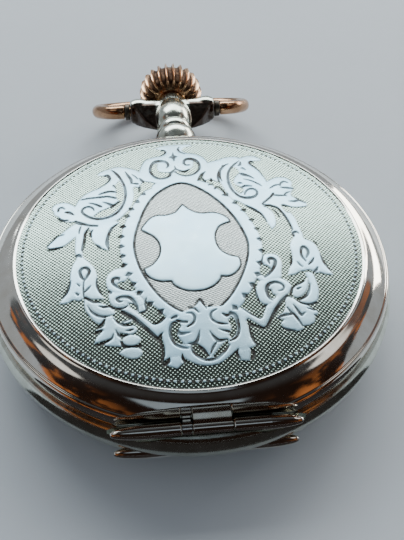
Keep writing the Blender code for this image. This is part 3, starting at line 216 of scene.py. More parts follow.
# Engraved lines, and strokes of painted shade on the shadow side of the ornament: points and half widths
CUTS = [
    # left scroll
    [(-9.4, 15.1, .03), (-8.7, 14, .16), (-8.1, 12.5, .13), (-7.7, 11, .12), (-7.6, 9.5, .13),
     (-7.75, 8, .12), (-8.2, 6.6, .12), (-8.9, 5.5, .15), (-9.9, 4.85, .17), (-11, 4.65, .18),
     (-12.1, 5, .16), (-13, 5.8, .13), (-13.4, 6.6, .13), (-13.1, 7.2, .12), (-12.5, 7.35, .12),
     (-12, 7, .1), (-11.8, 6.4, .02)],
    [(-7.5, 14.4, .02), (-7.1, 13.3, .14), (-6.75, 12.3, .18), (-6.7, 11.5, .1)],
    [(-6.6, 13.6, .02), (-6.1, 12.9, .07), (-5.8, 12.3, .02)],
    [(-5.6, 12.5, .02), (-5.35, 12, .15), (-5.1, 11.5, .13)],
    [(-6.5, 11.4, .06), (-5.9, 11.2, .14)],
    [(-5.6, 10.9, .02), (-5.7, 10.1, .14), (-5.8, 9.5, .05)],
    [(-10.4, 13.8, .1), (-9.9, 13.8, .17), (-9.65, 13.1, .16), (-9.8, 12.5, .1), (-10.4, 11.8, .07),
     (-11.2, 11.2, .04)],
    [(-11.2, 9.7, .03), (-10.5, 9.95, .12), (-9.7, 10.1, .15), (-8.8, 9.85, .1)],
    [(-13.5, 9, .05), (-12.5, 9.1, .1), (-11, 9.05, .12), (-10, 9.05, .12), (-9, 8.6, .12)],
    [(-12.5, 8.15, .03), (-11.7, 7.75, .1), (-11, 7.2, .14), (-10.8, 7, .05)],
    [(-10.7, 8.05, .02), (-10, 7.6, .12), (-9.5, 7.1, .2), (-9.6, 6.7, .06)],
    [(-9.4, 7, .13), (-8.9, 7.4, .1), (-8.4, 7.95, .04)],
    [(-9.2, 11.4, .1), (-8.9, 10.9, .04)],
    # left lobes and branch
    [(-16.5, 7.2, .1), (-16.45, 7.7, .1), (-16, 7.85, .1), (-15.6, 7.45, .03)],
    [(-15.6, 6.8, .06), (-15, 6.6, .18), (-14.4, 6.05, .03)],
    [(-16.4, 5.7, .12), (-15.9, 5.2, .17), (-15.1, 5.1, .04)],
    [(-14.2, 4.75, .1), (-13.8, 4.35, .2), (-13, 3.95, .14), (-12.3, 3.6, .1), (-11.4, 3.4, .1)],
    [(-17.7, .8, .05), (-16.9, 1.8, .1), (-16.4, 2.4, .14), (-15.6, 2.5, .04)],
    [(-17.5, .1, .12), (-16.6, .15, .14), (-15.7, .3, .05)],
    [(-12.5, 3.2, .05), (-12.95, 2.2, .13), (-13.05, 1, .15), (-13.2, 0, .17), (-13.3, -.7, .1)],
    [(-13.5, 3.6, .05), (-13.7, 2.8, .08), (-13.7, 2.3, .02)],
    [(-12, 2.7, .04), (-12.3, 2.1, .12), (-12.2, 1.5, .05)],
    [(-8.9, 3.3, .05), (-9.6, 2.6, .13), (-10, 1.7, .14), (-10.2, .8, .17), (-10.25, -.1, .2),
     (-10.05, -1, .06)],
    [(-11.6, 0, .03), (-11.3, -.4, .12), (-11, -.8, .04)],
    # left bell
    [(-14, -1.6, .12), (-13.7, -1.5, .2), (-13.4, -1.8, .08)],
    [(-13, -5.7, .04), (-13.4, -5, .15), (-13.55, -4.2, .15), (-13.2, -3.7, .15), (-12.7, -3.8, .17),
     (-12.45, -4.4, .17), (-12.7, -5.1, .13), (-13, -5.7, .04)],
    [(-13.1, -5.8, .05), (-13.15, -6.8, .07), (-13.1, -8, .05)],
    [(-12.3, -6.6, .03), (-12.6, -7, .1), (-12.95, -7.4, .06)],
    [(-13.9, -6, .03), (-13.6, -6.4, .07)],
    [(-14, -7.4, .06), (-13.75, -7.7, .13)],
    [(-14.65, -5.4, .03), (-14.8, -6.3, .13), (-15.1, -7.2, .15), (-15.5, -7.8, .08)],
    [(-11.55, -5.5, .03), (-11.6, -6.5, .1), (-11.35, -7.4, .12), (-11, -8.1, .06)],
    # left small scrolls
    [(-9, -6.25, .05), (-9.05, -5.95, .16), (-9.6, -5.95, .18), (-9.75, -6.5, .16), (-9.3, -7.15, .12),
     (-8.5, -7.7, .09), (-7.5, -8.05, .05)],
    [(-8.7, -9.45, .04), (-9.1, -9.4, .12), (-9.3, -9, .17), (-8.8, -8.8, .17), (-8, -8.95, .18),
     (-7.5, -9.5, .16), (-7.2, -10.2, .12), (-7, -11, .06)],
    [(-10, -10, .06), (-9.3, -10.4, .1), (-8.6, -10.4, .08), (-8.1, -10.1, .03)],
    [(-8.8, -10.85, .18), (-7.6, -11.9, .22), (-6.5, -13.2, .2), (-5.6, -14.4, .2), (-5, -15.2, .08)],
    [(-6, -9.3, .03), (-6.2, -10.2, .09), (-6.1, -11, .09), (-6.7, -11.3, .06)],
    [(-5.5, -12.95, .06), (-5, -12.9, .1), (-4.2, -12.3, .12)],
    [(-10.2, -7.6, .05), (-10, -8, .15)],
    # left lower leaves
    [(-12.7, -9.4, .02), (-12.2, -10.4, .1), (-11.5, -11.05, .13), (-10.8, -11.3, .08),
     (-10.2, -11.25, .03)],
    [(-13, -8.2, .08), (-12.4, -8.7, .15), (-11.9, -9.05, .15), (-11.3, -9.1, .08)],
    [(-11.4, -9.7, .04), (-10.8, -9.95, .12), (-10.1, -9.9, .13), (-9.9, -10.3, .05)],
    [(-11.6, -12.6, .15), (-11.1, -12.2, .13), (-10.75, -11.6, .05)],
    [(-11.8, -13.3, .15), (-11.1, -13, .06)],
    [(-9.8, -11.6, .05), (-9.3, -12.3, .12), (-8.6, -12.75, .14), (-7.9, -12.8, .08)],
    [(-9, -12.4, .05), (-8.3, -12.1, .08), (-7.9, -12, .05)],
    [(-9.6, -13.2, .03), (-9.3, -14, .12), (-8.9, -14.1, .15), (-8.4, -14, .08)],
    [(-9.9, -13.7, .03), (-10.1, -14.3, .1), (-10.9, -14.7, .1), (-11.7, -14.9, .08)],
    [(-8.5, -13.5, .05), (-8, -13.5, .12), (-7.7, -13.4, .05)],
    [(-9.1, -14.8, .1), (-8.8, -15.4, .17), (-8, -15.6, .08), (-7.1, -15.6, .12)],
    # palmette
    [(-3.1, -13, .06), (-3.5, -13.3, .12), (-3.75, -14.1, .13), (-3.7, -15, .14), (-3.3, -15.9, .15),
     (-2.6, -16.4, .15), (-2, -16.6, .06)],
    [(3.2, -12.5, .2), (3.7, -12.9, .18), (3.85, -14, .14), (3.75, -15, .13), (3.3, -15.8, .13),
     (2.6, -16.15, .06)],
    [(-1.65, -16.4, .05), (-1.5, -17.1, .14), (-.8, -17.9, .15), (0, -18.25, .15), (1, -18.05, .15),
     (1.9, -17.3, .13), (2.5, -16.6, .04)],
    [(-.7, -11, .03), (0, -10.25, .17), (.35, -10.9, .1), (.6, -11.6, .05)],
    [(-1.3, -11.2, .12), (-.8, -11.4, .12), (-.3, -12.1, .04)],
    [(.9, -11.3, .12), (1.4, -11.1, .05)],
    [(-1.7, -12, .05), (-1.1, -12.1, .12), (-.85, -12.7, .13), (-1.1, -13.4, .13), (-1.8, -13.85, .07)],
    [(-3.4, -12.5, .1), (-2.9, -12.3, .18)],
    [(-2.9, -12.8, .08), (-2.3, -13.1, .14), (-1.8, -13.2, .14)],
    [(1.7, -11.85, .05), (1.1, -12.2, .1), (.95, -12.9, .12), (1.3, -13.5, .11), (2, -13.85, .12),
     (2.7, -13.95, .05)],
    [(2.3, -12.5, .08), (2.7, -12.8, .18), (3.1, -12.7, .08)],
    [(-2.9, -14.1, .08), (-2.6, -14.65, .18), (-1.5, -14.6, .03)],
    [(1.6, -14.5, .03), (2.1, -14.75, .1), (2.6, -14.95, .14)],
    [(-2, -16, .04), (-1.2, -16, .18), (-.8, -15.4, .14), (-.5, -14.4, .02)],
    [(.55, -14.6, .02), (.9, -15.4, .13), (1.4, -16, .2), (2.3, -15.9, .05)],
    [(-.9, -16.3, .05), (-.4, -16.9, .14), (.1, -17.8, .05)],
    [(1.1, -16.2, .05), (.7, -16.7, .14), (.3, -17.5, .04)],
    [(-4.5, -14.2, .02), (-4.95, -14.9, .14), (-4.75, -16, .12), (-4.7, -17, .16), (-4.9, -17.9, .06)],
    [(-4.1, -17.5, .04), (-4.3, -18, .2), (-4.8, -18.3, .1)],
    [(-2.7, -17.2, .03), (-2.7, -17.8, .13), (-2.5, -18.3, .05)],
    [(4.9, -13.7, .03), (5.4, -14.3, .12), (6.5, -14.9, .12)],
    [(5, -14.3, .05), (5, -15.4, .14), (5.2, -16.5, .13), (5.5, -17, .05)],
    [(4.6, -17.2, .04), (4.9, -17.9, .16), (4.6, -18.6, .05)],
    [(3.3, -17.2, .04), (3.1, -17.8, .12), (3.4, -18.5, .05)],
    # top rings, volutes and star
    [(-1.7, 14.3, .02), (-1.4, 15, .13), (-1.6, 15.8, .17), (-2.3, 16.15, .24), (-3.2, 16.05, .28),
     (-3.8, 15.2, .17), (-4, 14, .16), (-3.7, 12.9, .17), (-3, 12.1, .2), (-2.2, 12, .2), (-1.5, 12.4, .18),
     (-1.2, 13.1, .15), (-.6, 13.8, .08)],
    [(1.7, 14.7, .04), (1.1, 14.75, .1), (.85, 15.4, .14), (1.15, 16.1, .2), (1.9, 16.2, .28),
     (2.6, 15.7, .25), (2.95, 14.8, .16), (2.85, 13.7, .15), (2.2, 12.7, .15), (1.1, 12.2, .15),
     (.2, 12.5, .12), (-.6, 13.3, .08)],
    [(-.5, 14.7, .04), (-.4, 14, .1), (.2, 13.4, .12), (.8, 13.2, .15), (1.4, 13.6, .05)],
    [(-2.4, 17.5, .06), (-1.8, 17.9, .1), (-1.55, 18.4, .12), (-1.7, 18.9, .1), (-2.1, 18.9, .08)],
    [(.6, 19.6, .03), (.35, 19, .12), (.6, 18.2, .12), (1.2, 17.65, .07)],
    [(-.45, 18.2, .02), (-.5, 17.5, .12), (-.5, 17, .3), (-.5, 16.5, .12), (-.45, 15.9, .02)],
    [(-1.1, 17, .04), (-.5, 17, .3), (.05, 17.1, .04)],
    # right small scrolls
    [(9, -5.7, .05), (8.95, -5.1, .14), (9.35, -4.85, .2), (9.75, -5.2, .18), (9.6, -5.9, .18),
     (9.2, -6.6, .15), (8.6, -7.3, .1), (8, -7.8, .04)],
    [(9.2, -9.95, .04), (9.75, -9.8, .08), (9.95, -9.3, .1), (9.6, -8.8, .13), (9, -8.6, .16),
     (8.3, -8.85, .2), (7.9, -9.5, .2), (7.85, -10.3, .16), (8, -10.9, .13), (8.3, -11.2, .05)],
    [(10.1, -10.6, .1), (9.4, -11.3, .2), (8.4, -12.5, .2), (7.6, -13.7, .17), (6.9, -14.9, .1)],
    [(4.7, -12.1, .06), (5.5, -12.9, .09), (6.3, -13.5, .1)],
    [(8.5, -4.2, .03), (8.2, -5, .08), (8, -5.5, .12)],
    [(6.5, -8.8, .08), (6.6, -10, .05), (6.7, -11.3, .05)],
    [(7, -12, .14), (7.5, -11.8, .05)],
    # right bell
    [(13, -1.2, .12), (13, -.75, .13), (13.4, -.5, .12), (13.75, -.8, .04)],
    [(13.5, -5.6, .06), (13.2, -4.8, .13), (13.3, -3.8, .13), (13.7, -3.2, .17), (14.1, -3.6, .16),
     (14.1, -4.3, .14), (13.7, -5, .06)],
    [(14.6, -5.1, .02), (14.3, -5.6, .1), (13.7, -6.2, .05)],
    [(12.4, -5.6, .03), (12.6, -6.1, .08), (12.85, -6.5, .05)],
    [(14.75, -6.6, .02), (14.4, -7.1, .13), (14, -7.4, .05)],
    [(15.55, -4.6, .03), (15.65, -5.7, .15), (15.9, -6.6, .13), (16.2, -7.4, .04)],
    [(11.9, -4.4, .03), (11.75, -5.4, .1), (11.5, -6, .05)],
    [(15.3, -2.2, .05), (15.6, -2.9, .1)],
    # right lower leaves
    [(13.15, -9.1, .02), (12.8, -10.1, .12), (12.2, -10.9, .17), (11.4, -11.3, .1)],
    [(12.6, -8.6, .08), (11.8, -9, .12), (11, -9.5, .1), (10.6, -10.3, .1), (10.5, -10.9, .05)],
    [(12, -9.6, .03), (11.5, -9.8, .12)],
    [(13.2, -11.9, .13), (12.3, -12.1, .1), (11.4, -11.8, .1), (10.8, -11.1, .05)],
    [(10.5, -12, .02), (10.8, -12.8, .12), (11.1, -13.5, .14), (11.6, -13.2, .04)],
    [(9.7, -12.3, .05), (10, -13, .12), (10.3, -13.4, .12), (10.6, -14.1, .12), (10.9, -14.9, .06)],
    [(8.4, -13.7, .08), (9, -13.4, .17), (10.1, -13.3, .1)],
    [(8.7, -15.1, .08), (9.4, -15.4, .12), (10, -15.5, .05)],
    [(12, -12.6, .04), (12.7, -12.9, .13)],
    [(12.6, -13.6, .06), (13, -13.9, .1)],
    # right upper leaves
    [(7.1, 14.5, .03), (6.3, 13.9, .1), (5.7, 13, .16), (5.3, 12, .14), (5.15, 11, .12), (5.2, 10.2, .05)],
    [(6.2, 14.2, .02), (5.75, 12.9, .05), (5.5, 11.4, .07), (5.6, 10.4, .03)],
    [(3.6, 12.9, .03), (3, 12.1, .18), (2.6, 11.3, .2), (2.3, 10.9, .05)],
    [(3, 11.4, .08), (3.3, 10.5, .12)],
    [(4.2, 11.2, .05), (4.15, 10.7, .14)],
    [(3.7, 9.8, .1), (4.2, 10, .12)],
    [(4.4, 8.9, .12), (4.7, 9.3, .12), (5.2, 9, .1), (5.6, 7.6, .12), (5.2, 7.4, .06)],
    [(8.75, 15.1, .03), (7.8, 14.1, .12), (7.05, 13, .13), (6.6, 11.7, .14), (6.45, 10.2, .14),
     (6.6, 8.7, .14), (7, 7.6, .14), (7.6, 6.8, .16), (8.4, 6.5, .2), (9.3, 6.65, .17), (9.9, 7.3, .13),
     (9.9, 8, .12), (9.4, 8.4, .13), (8.8, 8.25, .1), (8.35, 7.7, .09), (8.2, 7.2, .05)],
    [(8.9, 14.8, .04), (8.7, 14.1, .16), (8.4, 13.9, .05)],
    [(8.7, 13.3, .04), (9, 13.2, .14), (9.3, 12.8, .04)],
    [(8.3, 12.1, .05), (8.8, 11.7, .24), (9.5, 11.3, .14), (10.1, 10.7, .04)],
    [(8.6, 10.7, .02), (9.6, 10.2, .07), (10.4, 9.5, .08), (10.9, 8.9, .02)],
    [(10.8, 14.4, .03), (10.5, 14.8, .1), (10.2, 14.7, .14), (10.2, 14.1, .16), (10.7, 13.4, .13),
     (11.2, 12.4, .06), (11.5, 11.2, .05)],
    [(7.6, 9.8, .04), (8, 9.8, .12), (8.3, 9.7, .04)],
    [(8.1, 8.8, .08), (8.6, 9.1, .14), (9.5, 9, .04)],
    [(13.4, 8.9, .08), (13.6, 9.4, .1), (14.1, 9.75, .1), (14.6, 9.5, .06)],
    [(13.4, 8.5, .05), (14.2, 8.3, .14), (15.1, 8.15, .1)],
    [(11.8, 8.3, .03), (12.5, 8.85, .08), (13.2, 9.1, .06)],
    [(14.5, 7.5, .03), (13.9, 7.2, .08), (13.6, 6.95, .05)],
    [(12.1, 7.2, .12), (11.6, 6.5, .12), (10.9, 5.8, .1), (10.25, 5.15, .1), (10.5, 4.85, .1),
     (11.2, 4.75, .08)],
    [(12, 6.9, .08), (12.9, 6.7, .08), (13.8, 6.7, .05)],
    [(13.8, 5.5, .03), (14.6, 5.4, .12), (15.2, 5.6, .1)],
    [(14.9, 6.2, .08), (15.4, 5.6, .14), (16, 5.05, .05)],
    [(12.8, 4.7, .1), (13.6, 4.4, .05)],
    [(11.2, 4.7, .08), (12, 4.2, .1), (12.4, 3.4, .12), (12.75, 2.3, .12), (12.95, 1.2, .11),
     (13.1, 0, .09)],
    [(11.3, 4.1, .04), (11.7, 3.4, .1), (11.95, 2.5, .08)],
    [(8, 4.95, .05), (8.8, 4.2, .12), (9.5, 3.4, .1), (9.9, 2.5, .08), (10.1, 1.6, .03)],
]
# Small dark bites along the lobed edge of the oval band: place and size
BITES = [(-7.5, 4.6, .3), (-8.1, 2.7, .3), (-8.4, .9, .3), (-8.45, -.85, .27), (-8.35, -2.5, .27),
         (-8.2, -4, .27), (-7.7, -5.55, .3), (-7.3, -7.1, .3), (-6.6, -8.5, .3), (-5.5, -10.2, .3),
         (-4.4, -11.4, .3), (-6.9, 5.9, .28), (-6.1, 7.3, .27), (-5.2, 8.8, .25), (8.5, .5, .25),
         (8.5, -1.4, .27), (8.4, -3.4, .3), (7.8, -5.4, .3), (7.2, -7.1, .3), (6.3, -8.6, .3),
         (5.2, -10.1, .3), (3.8, -11.7, .3), (8.1, 2.2, .27), (7.4, 4.2, .3), (6.5, 5.7, .28),
         (5.6, 7.4, .26)]


# ---------------------------------------------------------------- curves and fields

def spline(points, closed, steps):
    """Smooth line that passes through every point."""
    points = [np.array(p, float) for p in points]
    if closed:
        ctrl = [points[-1]] + points + [points[0], points[1]]
    else:
        ctrl = [2 * points[0] - points[1]] + points + [2 * points[-1] - points[-2]]
    line = []
    for a, b, c, d in zip(ctrl, ctrl[1:], ctrl[2:], ctrl[3:]):
        for t in np.arange(steps) / steps:
            line.append(0.5 * (2 * b + (c - a) * t + (2 * a - 5 * b + 4 * c - d) * t * t
                               + (3 * b - a - 3 * c + d) * t ** 3))
    if not closed:
        line.append(points[-1])
    return np.array(line)


def outline(points, steps=5):
    """Closed smooth line; a third value on a point keeps it a sharp corner."""
    corners = [i for i, p in enumerate(points) if len(p) > 2]
    flat = [p[:2] for p in points]
    if not corners:
        return spline(flat, True, steps)
    first = corners[0]
    flat = flat[first:] + flat[:first]
    flat.append(flat[0])
    marks = [i - first for i in corners] + [len(points)]
    line = []
    for start, end in zip(marks, marks[1:]):
        run = flat[start:end + 1]
        line.append(np.array(run[:1]) if len(run) == 2 else spline(run, False, steps)[:-1])
    return np.concatenate(line)


def distance_inside(places, line):
    """Signed distance to a closed line, positive inside."""
    best = np.full(len(places), 1e9)
    inside = np.zeros(len(places), bool)
    for (ax, ay), (bx, by) in zip(line, np.roll(line, -1, 0)):
        dx, dy = bx - ax, by - ay
        length = dx * dx + dy * dy
        if length < 1e-12:
            continue
        t = np.clip(((places[:, 0] - ax) * dx + (places[:, 1] - ay) * dy) / length, 0, 1)
        best = np.minimum(best, (places[:, 0] - ax - t * dx) ** 2 + (places[:, 1] - ay - t * dy) ** 2)
        if abs(dy) > 1e-12:
            crossing = (ay > places[:, 1]) != (by > places[:, 1])
            inside ^= crossing & (places[:, 0] < ax + (places[:, 1] - ay) / dy * dx)
    return np.where(inside, 1, -1) * np.sqrt(best)


def distance_in_stroke(places, line):
    """Signed distance to a stroke whose half width is the third value of its points."""
    best = np.full(len(places), -REACH)
    for a, b in zip(line, line[1:]):
        along = b - a
        length = along[0] ** 2 + along[1] ** 2
        if length < 1e-12:
            continue
        t = np.clip(((places - a[:2]) @ along[:2]) / length, 0, 1)
        offset = places - a[:2] - t[:, None] * along[:2]
        best = np.maximum(best, a[2] + t * along[2] - np.hypot(offset[:, 0], offset[:, 1]))
    return best


def field_of(places, lines, measure):
    """Largest signed distance over several lines, worked out only near each of them."""
    field = np.full(len(places), -REACH)
    for line in lines:
        low, high = line[:, :2].min(0) - REACH, line[:, :2].max(0) + REACH
        near = np.nonzero(((places > low) & (places < high)).all(1))[0]
        field[near] = np.maximum(field[near], measure(places[near], line))
    return field


def smooth_step(value, low, high):
    t = np.clip((value - low) / (high - low), 0, 1)
    return t * t * (3 - 2 * t)


# ---------------------------------------------------------------- materials

class Shader:
    """A Principled material and short ways to write its node tree, in object millimetres."""

    def __init__(self, name, **sockets):
        self.material = bpy.data.materials.new(name)
        self.material.use_nodes = True
        self.tree = self.material.node_tree
        self.bsdf = self.tree.nodes["Principled BSDF"]
        for key, value in sockets.items():
            self.put(key.replace("_", " "), value)
        coords = self.tree.nodes.new("ShaderNodeTexCoord")
        self.place = self.mapped(coords.outputs["Object"], scale=1 / MM)

    def put(self, socket, value):
        """Feed a socket of the shader from a node, a colour or a number."""
        target = self.bsdf.inputs[socket]
        if isinstance(value, bpy.types.NodeSocket):
            self.tree.links.new(value, target)
        elif isinstance(value, tuple) and len(value) == 3:
            target.default_value = (*value, 1)
        else:
            target.default_value = value

    def add(self, kind, inputs, **settings):
        node = self.tree.nodes.new(kind)
        for key, value in settings.items():
            setattr(node, key, value)
        for key, value in inputs.items():
            if isinstance(value, bpy.types.NodeSocket):
                self.tree.links.new(value, node.inputs[key])
            else:
                node.inputs[key].default_value = value
        return node

    def mapped(self, vector, scale=1.0, turn=0.0, stretch=(1, 1, 1)):
        inputs = {"Vector": vector, "Rotation": (0, 0, turn), "Scale": tuple(scale * s for s in stretch)}
        return self.add("ShaderNodeMapping", inputs).outputs[0]

    def math(self, operation, *values):
        return self.add("ShaderNodeMath", dict(enumerate(values)), operation=operation).outputs[0]

    def times(self, first, second):
        return self.math("MULTIPLY", first, second)

    def plus(self, first, second):
        return self.math("ADD", first, second)

    def vector(self, operation, *values):
        return self.add("ShaderNodeVectorMath", dict(enumerate(values)), operation=operation).outputs

    def split(self, vector):
        """The x, y and z of a vector."""
        return self.add("ShaderNodeSeparateXYZ", {0: vector}).outputs

    def source(self, socket):
        """What already feeds one of the shader's sockets."""
        return self.bsdf.inputs[socket].links[0].from_socket

    def noise(self, scale, detail=4.0, stretch=(1, 1, 1)):
        vector = self.mapped(self.place, stretch=stretch)
        inputs = {"Vector": vector, "Scale": scale, "Detail": detail, "Roughness": 0.6}
        return self.add("ShaderNodeTexNoise", inputs).outputs[0]

    def span(self, value, low, high, to_low=0.0, to_high=1.0, soft=False):
        """A value moved from one range to another and held at its ends."""
        inputs = {0: value, 1: low, 2: high, 3: to_low, 4: to_high}
        kind = "SMOOTHSTEP" if soft else "LINEAR"
        return self.add("ShaderNodeMapRange", inputs, interpolation_type=kind).outputs[0]

    def spot(self, centre, size):
        """Soft round mask about a point, with a half size along each axis."""
        scaled = self.vector("DIVIDE", self.vector("SUBTRACT", self.place, centre)[0], size)[0]
        return self.span(self.vector("LENGTH", scaled)["Value"], 1.15, 0.85, soft=True)

    def attribute(self, name):
        return self.add("ShaderNodeAttribute", {}, attribute_name=name).outputs["Fac"]

    def mix(self, factor, first, second):
        node = self.add("ShaderNodeMix", {0: factor}, data_type="RGBA")
        for index, value in ((6, first), (7, second)):
            if isinstance(value, bpy.types.NodeSocket):
                self.tree.links.new(value, node.inputs[index])
            else:
                node.inputs[index].default_value = (*value, 1)
        return node.outputs[2]

    def bump(self, height, distance):
        inputs = {"Height": height, "Distance": distance * MM, "Strength": 1.0}
        self.put("Normal", self.add("ShaderNodeBump", inputs).outputs[0])


def metal(name, bright, dull, roughness, spread, patch=0.35, scratch=0.004, grain=(1, 1, 1)):
    """Polished or grained metal: uneven tone, uneven gloss and fine handling scratches."""
    shader = Shader(name, Metallic=1.0)
    tone = shader.span(shader.noise(patch, 6), 0.3, 0.7)
    shader.put("Base Color", shader.mix(tone, dull, bright))
    haze = shader.noise(patch * 3.1, 5, grain)
    shader.put("Roughness", shader.span(haze, 0.3, 0.75, roughness, roughness + spread))
    shader.bump(shader.noise(1.3, 2, grain), scratch)
    return shader


WORN = ((0.80, 0.84, 0.76), (0.52, 0.53, 0.44), 0.13, 0.15, 0.5)
NICKEL_GRAIN = (0.15, 4, 1)

SILVER = metal("silver", (0.93, 0.91, 0.86), (0.78, 0.73, 0.64), 0.05, 0.08, 0.35, 0.0012).material
SILVER_WORN = metal("silver_worn", *WORN).material
SILVER_PLAIN = metal("silver_inside", (0.86, 0.85, 0.82), (0.72, 0.70, 0.66), 0.12, 0.12).material
NICKEL = metal("nickel", (0.74, 0.73, 0.69), (0.62, 0.60, 0.55), 0.24, 0.12, 0.6, grain=NICKEL_GRAIN).material
STEEL = metal("polished_steel", (0.62, 0.62, 0.63), (0.46, 0.46, 0.48), 0.14, 0.14, 0.8).material
DARK_STEEL = metal("dark_steel", (0.13, 0.11, 0.09), (0.05, 0.04, 0.035), 0.34, 0.2, 1.2, 0.02).material
BLUED = metal("blued_steel", (0.05, 0.09, 0.42), (0.02, 0.03, 0.18), 0.14, 0.12, 0.7).material
GILT = metal("gilt_brass", (0.86, 0.66, 0.33), (0.66, 0.47, 0.20), 0.24, 0.16, 0.9).material


def make_rose_gold(name, bright, dull):
    """Polished rose gold with painted shade, near black, wherever the mesh marks a groove."""
    shader = metal(name, bright, dull, 0.13, 0.16, 0.45, 0.01)
    # Painted shade in the crown's grooves between the ribs; the grooves are also made rougher.
    painted_groove_shade = shader.times(shader.attribute("groove"), shader.span(shader.noise(1.4, 5), 0.2, 0.6, 0.7, 1.0))
    shader.put("Base Color", shader.mix(painted_groove_shade, shader.source("Base Color"), (0.035, 0.016, 0.010)))
    shader.put("Roughness", shader.plus(shader.source("Roughness"), shader.times(painted_groove_shade, 0.4)))
    return shader.material


def make_yoke_silver():
    """Worn silver with painted shade, dark brown, on the sloping web beside the neck."""
    shader = metal("yoke_silver", *WORN)
    x, y, _ = shader.split(shader.place)
    aside = shader.span(shader.math("ABSOLUTE", x), 2.5, 3.0, soft=True)
    below = shader.span(y, 37.4, 36.9, soft=True)
    cloud = shader.span(shader.noise(0.9, 5), 0.2, 0.5, 0.8, 1.0)
    # Painted shade: the web beside the neck, below the lugs, is painted dark brown.
    painted_shade_mask = shader.times(shader.times(aside, below), cloud)
    shader.put("Base Color", shader.mix(painted_shade_mask, shader.source("Base Color"), (0.055, 0.038, 0.030)))
    return shader.material


def make_enamel():
    shader = Shader("enamel", Metallic=0.0, Specular_IOR_Level=0.5, Coat_Weight=0.6, Coat_Roughness=0.03)
    cloud = shader.span(shader.noise(0.25, 5), 0.35, 0.7)
    shader.put("Base Color", shader.mix(cloud, (0.90, 0.89, 0.84), (0.84, 0.82, 0.75)))
    shader.put("Roughness", shader.span(shader.noise(2.0, 3), 0.3, 0.7, 0.10, 0.22))
    shader.bump(shader.noise(1.1, 3), 0.004)
    return shader.material


def make_ink():
    shader = Shader("dial_ink", Metallic=0.0)
    shader.put("Base Color", shader.mix(shader.noise(3.0, 4), (0.015, 0.014, 0.013), (0.05, 0.045, 0.04)))
    shader.put("Roughness", shader.span(shader.noise(5.0, 2), 0.3, 0.7, 0.25, 0.45))
    return shader.material


def make_glass():
    shader = Shader("crystal_glass", Transmission_Weight=1.0, IOR=1.5, Base_Color=(0.96, 0.985, 0.98))
    wear_and_painted_shade = shader.noise(2.6, 5, (1, 0.1, 1))
    shader.put("Roughness", shader.span(wear_and_painted_shade, 0.55, 0.8, 0.015, 0.10))
    shader.bump(wear_and_painted_shade, 0.001)
    return shader.material


def make_ruby():
    shader = Shader("ruby", Transmission_Weight=0.6, IOR=1.76)
    shader.put("Base Color", shader.mix(shader.noise(2.5, 4), (0.70, 0.05, 0.14), (0.45, 0.02, 0.08)))
    shader.put("Roughness", shader.span(shader.noise(6.0, 2), 0.3, 0.7, 0.04, 0.12))
    return shader.material


def make_engraved_silver():
    """Matted ground, bright ornament and dark cuts, told apart by the disc's own relief. The cuts carry
    painted shade, the ornament's edges painted edge shade, and the ground is painted darker towards the
    bottom.
    """
    shader = Shader("engraved_silver", Metallic=0.6)
    pattern = shader.mapped(shader.place, turn=-PATTERN_TURN)
    x, y, _ = shader.split(pattern)
    wave_x, wave_y = (shader.math("COSINE", shader.times(axis, math.tau / DOT_WAVE)) for axis in (x, y))
    dots = shader.times(wave_x, wave_y)
    patches = shader.noise(0.16, 5)
    grain = shader.noise(3.2, 5)
    # Painted shade: the matted ground is painted darker towards the bottom, the hinge side, by deepening the
    # dots there.
    wear_and_painted_shade = shader.span(shader.plus(y, shader.times(patches, 8.0)), -16, 7, 0.95, -0.05)
    level = shader.plus(shader.plus(dots, wear_and_painted_shade), shader.times(grain, 0.4))
    depth = shader.span(level, 0.05, 0.75, soft=True)
    ground = shader.mix(depth, GROUND_BRIGHT, GROUND_DARK)
    slant = shader.math("SINE", shader.plus(shader.times(x, HATCH_ACROSS), shader.times(y, HATCH_UP)))
    lines = shader.span(shader.plus(slant, grain), -0.5, 1.2, soft=True)
    hatch = shader.mix(lines, HATCH_BRIGHT, HATCH_DARK)
    plain = shader.mix(shader.span(patches, 0.35, 0.65), PLAIN_COOL, PLAIN_WARM)
    masks = {key: shader.span(shader.attribute(key), low, high, soft=True)
             for key, low, high in (("field", -0.04, 0.04), ("plain", -0.04, 0.05), ("cut", -0.11, 0.0))}
    colour = shader.mix(masks["field"], ground, hatch)
    colour = shader.mix(masks["plain"], colour, plain)
    rim = shader.span(shader.attribute("plain"), 0.02, 0.2, 0.55, 0.0)
    colour = shader.mix(shader.times(rim, masks["plain"]), colour, EDGE_SHADE)
    # Painted shade: the cuts, and the strokes on the shadow side of the ornament, are painted near black.
    painted_shade_mask = shader.times(masks["cut"], shader.span(shader.noise(0.9, 5), 0.3, 0.6, 0.75, 1.0))
    shader.put("Base Color", shader.mix(painted_shade_mask, colour, CUT_DARK))
    gloss = shader.span(shader.noise(0.5, 5), 0.3, 0.7, 0.30, 0.40)
    rough = shader.plus(gloss, shader.times(masks["plain"], -0.04))
    shader.put("Roughness", shader.plus(rough, shader.times(masks["cut"], 0.15)))
    pits = shader.times(shader.times(depth, -1.0), shader.math("SUBTRACT", 1.0, masks["plain"]))
    shader.bump(shader.plus(pits, shader.times(grain, 0.12)), 0.03)
    return shader.material


GROUND_BRIGHT = (0.76, 1.0, 0.88)
GROUND_DARK = (0.02, 0.025, 0.02)
HATCH_BRIGHT = (0.86, 0.94, 0.92)
HATCH_DARK = (0.22, 0.25, 0.25)
PLAIN_COOL = (0.50, 0.80, 0.98)
PLAIN_WARM = (0.60, 0.86, 0.98)
EDGE_SHADE = (0.22, 0.24, 0.25)
# Near-black painted shade for the cuts.
CUT_DARK = (0.025, 0.022, 0.020)
HATCH_ACROSS, HATCH_UP = 12.0, 20.0

ROSE_GOLD = make_rose_gold("rose_gold", (0.90, 0.58, 0.36), (0.46, 0.25, 0.14))
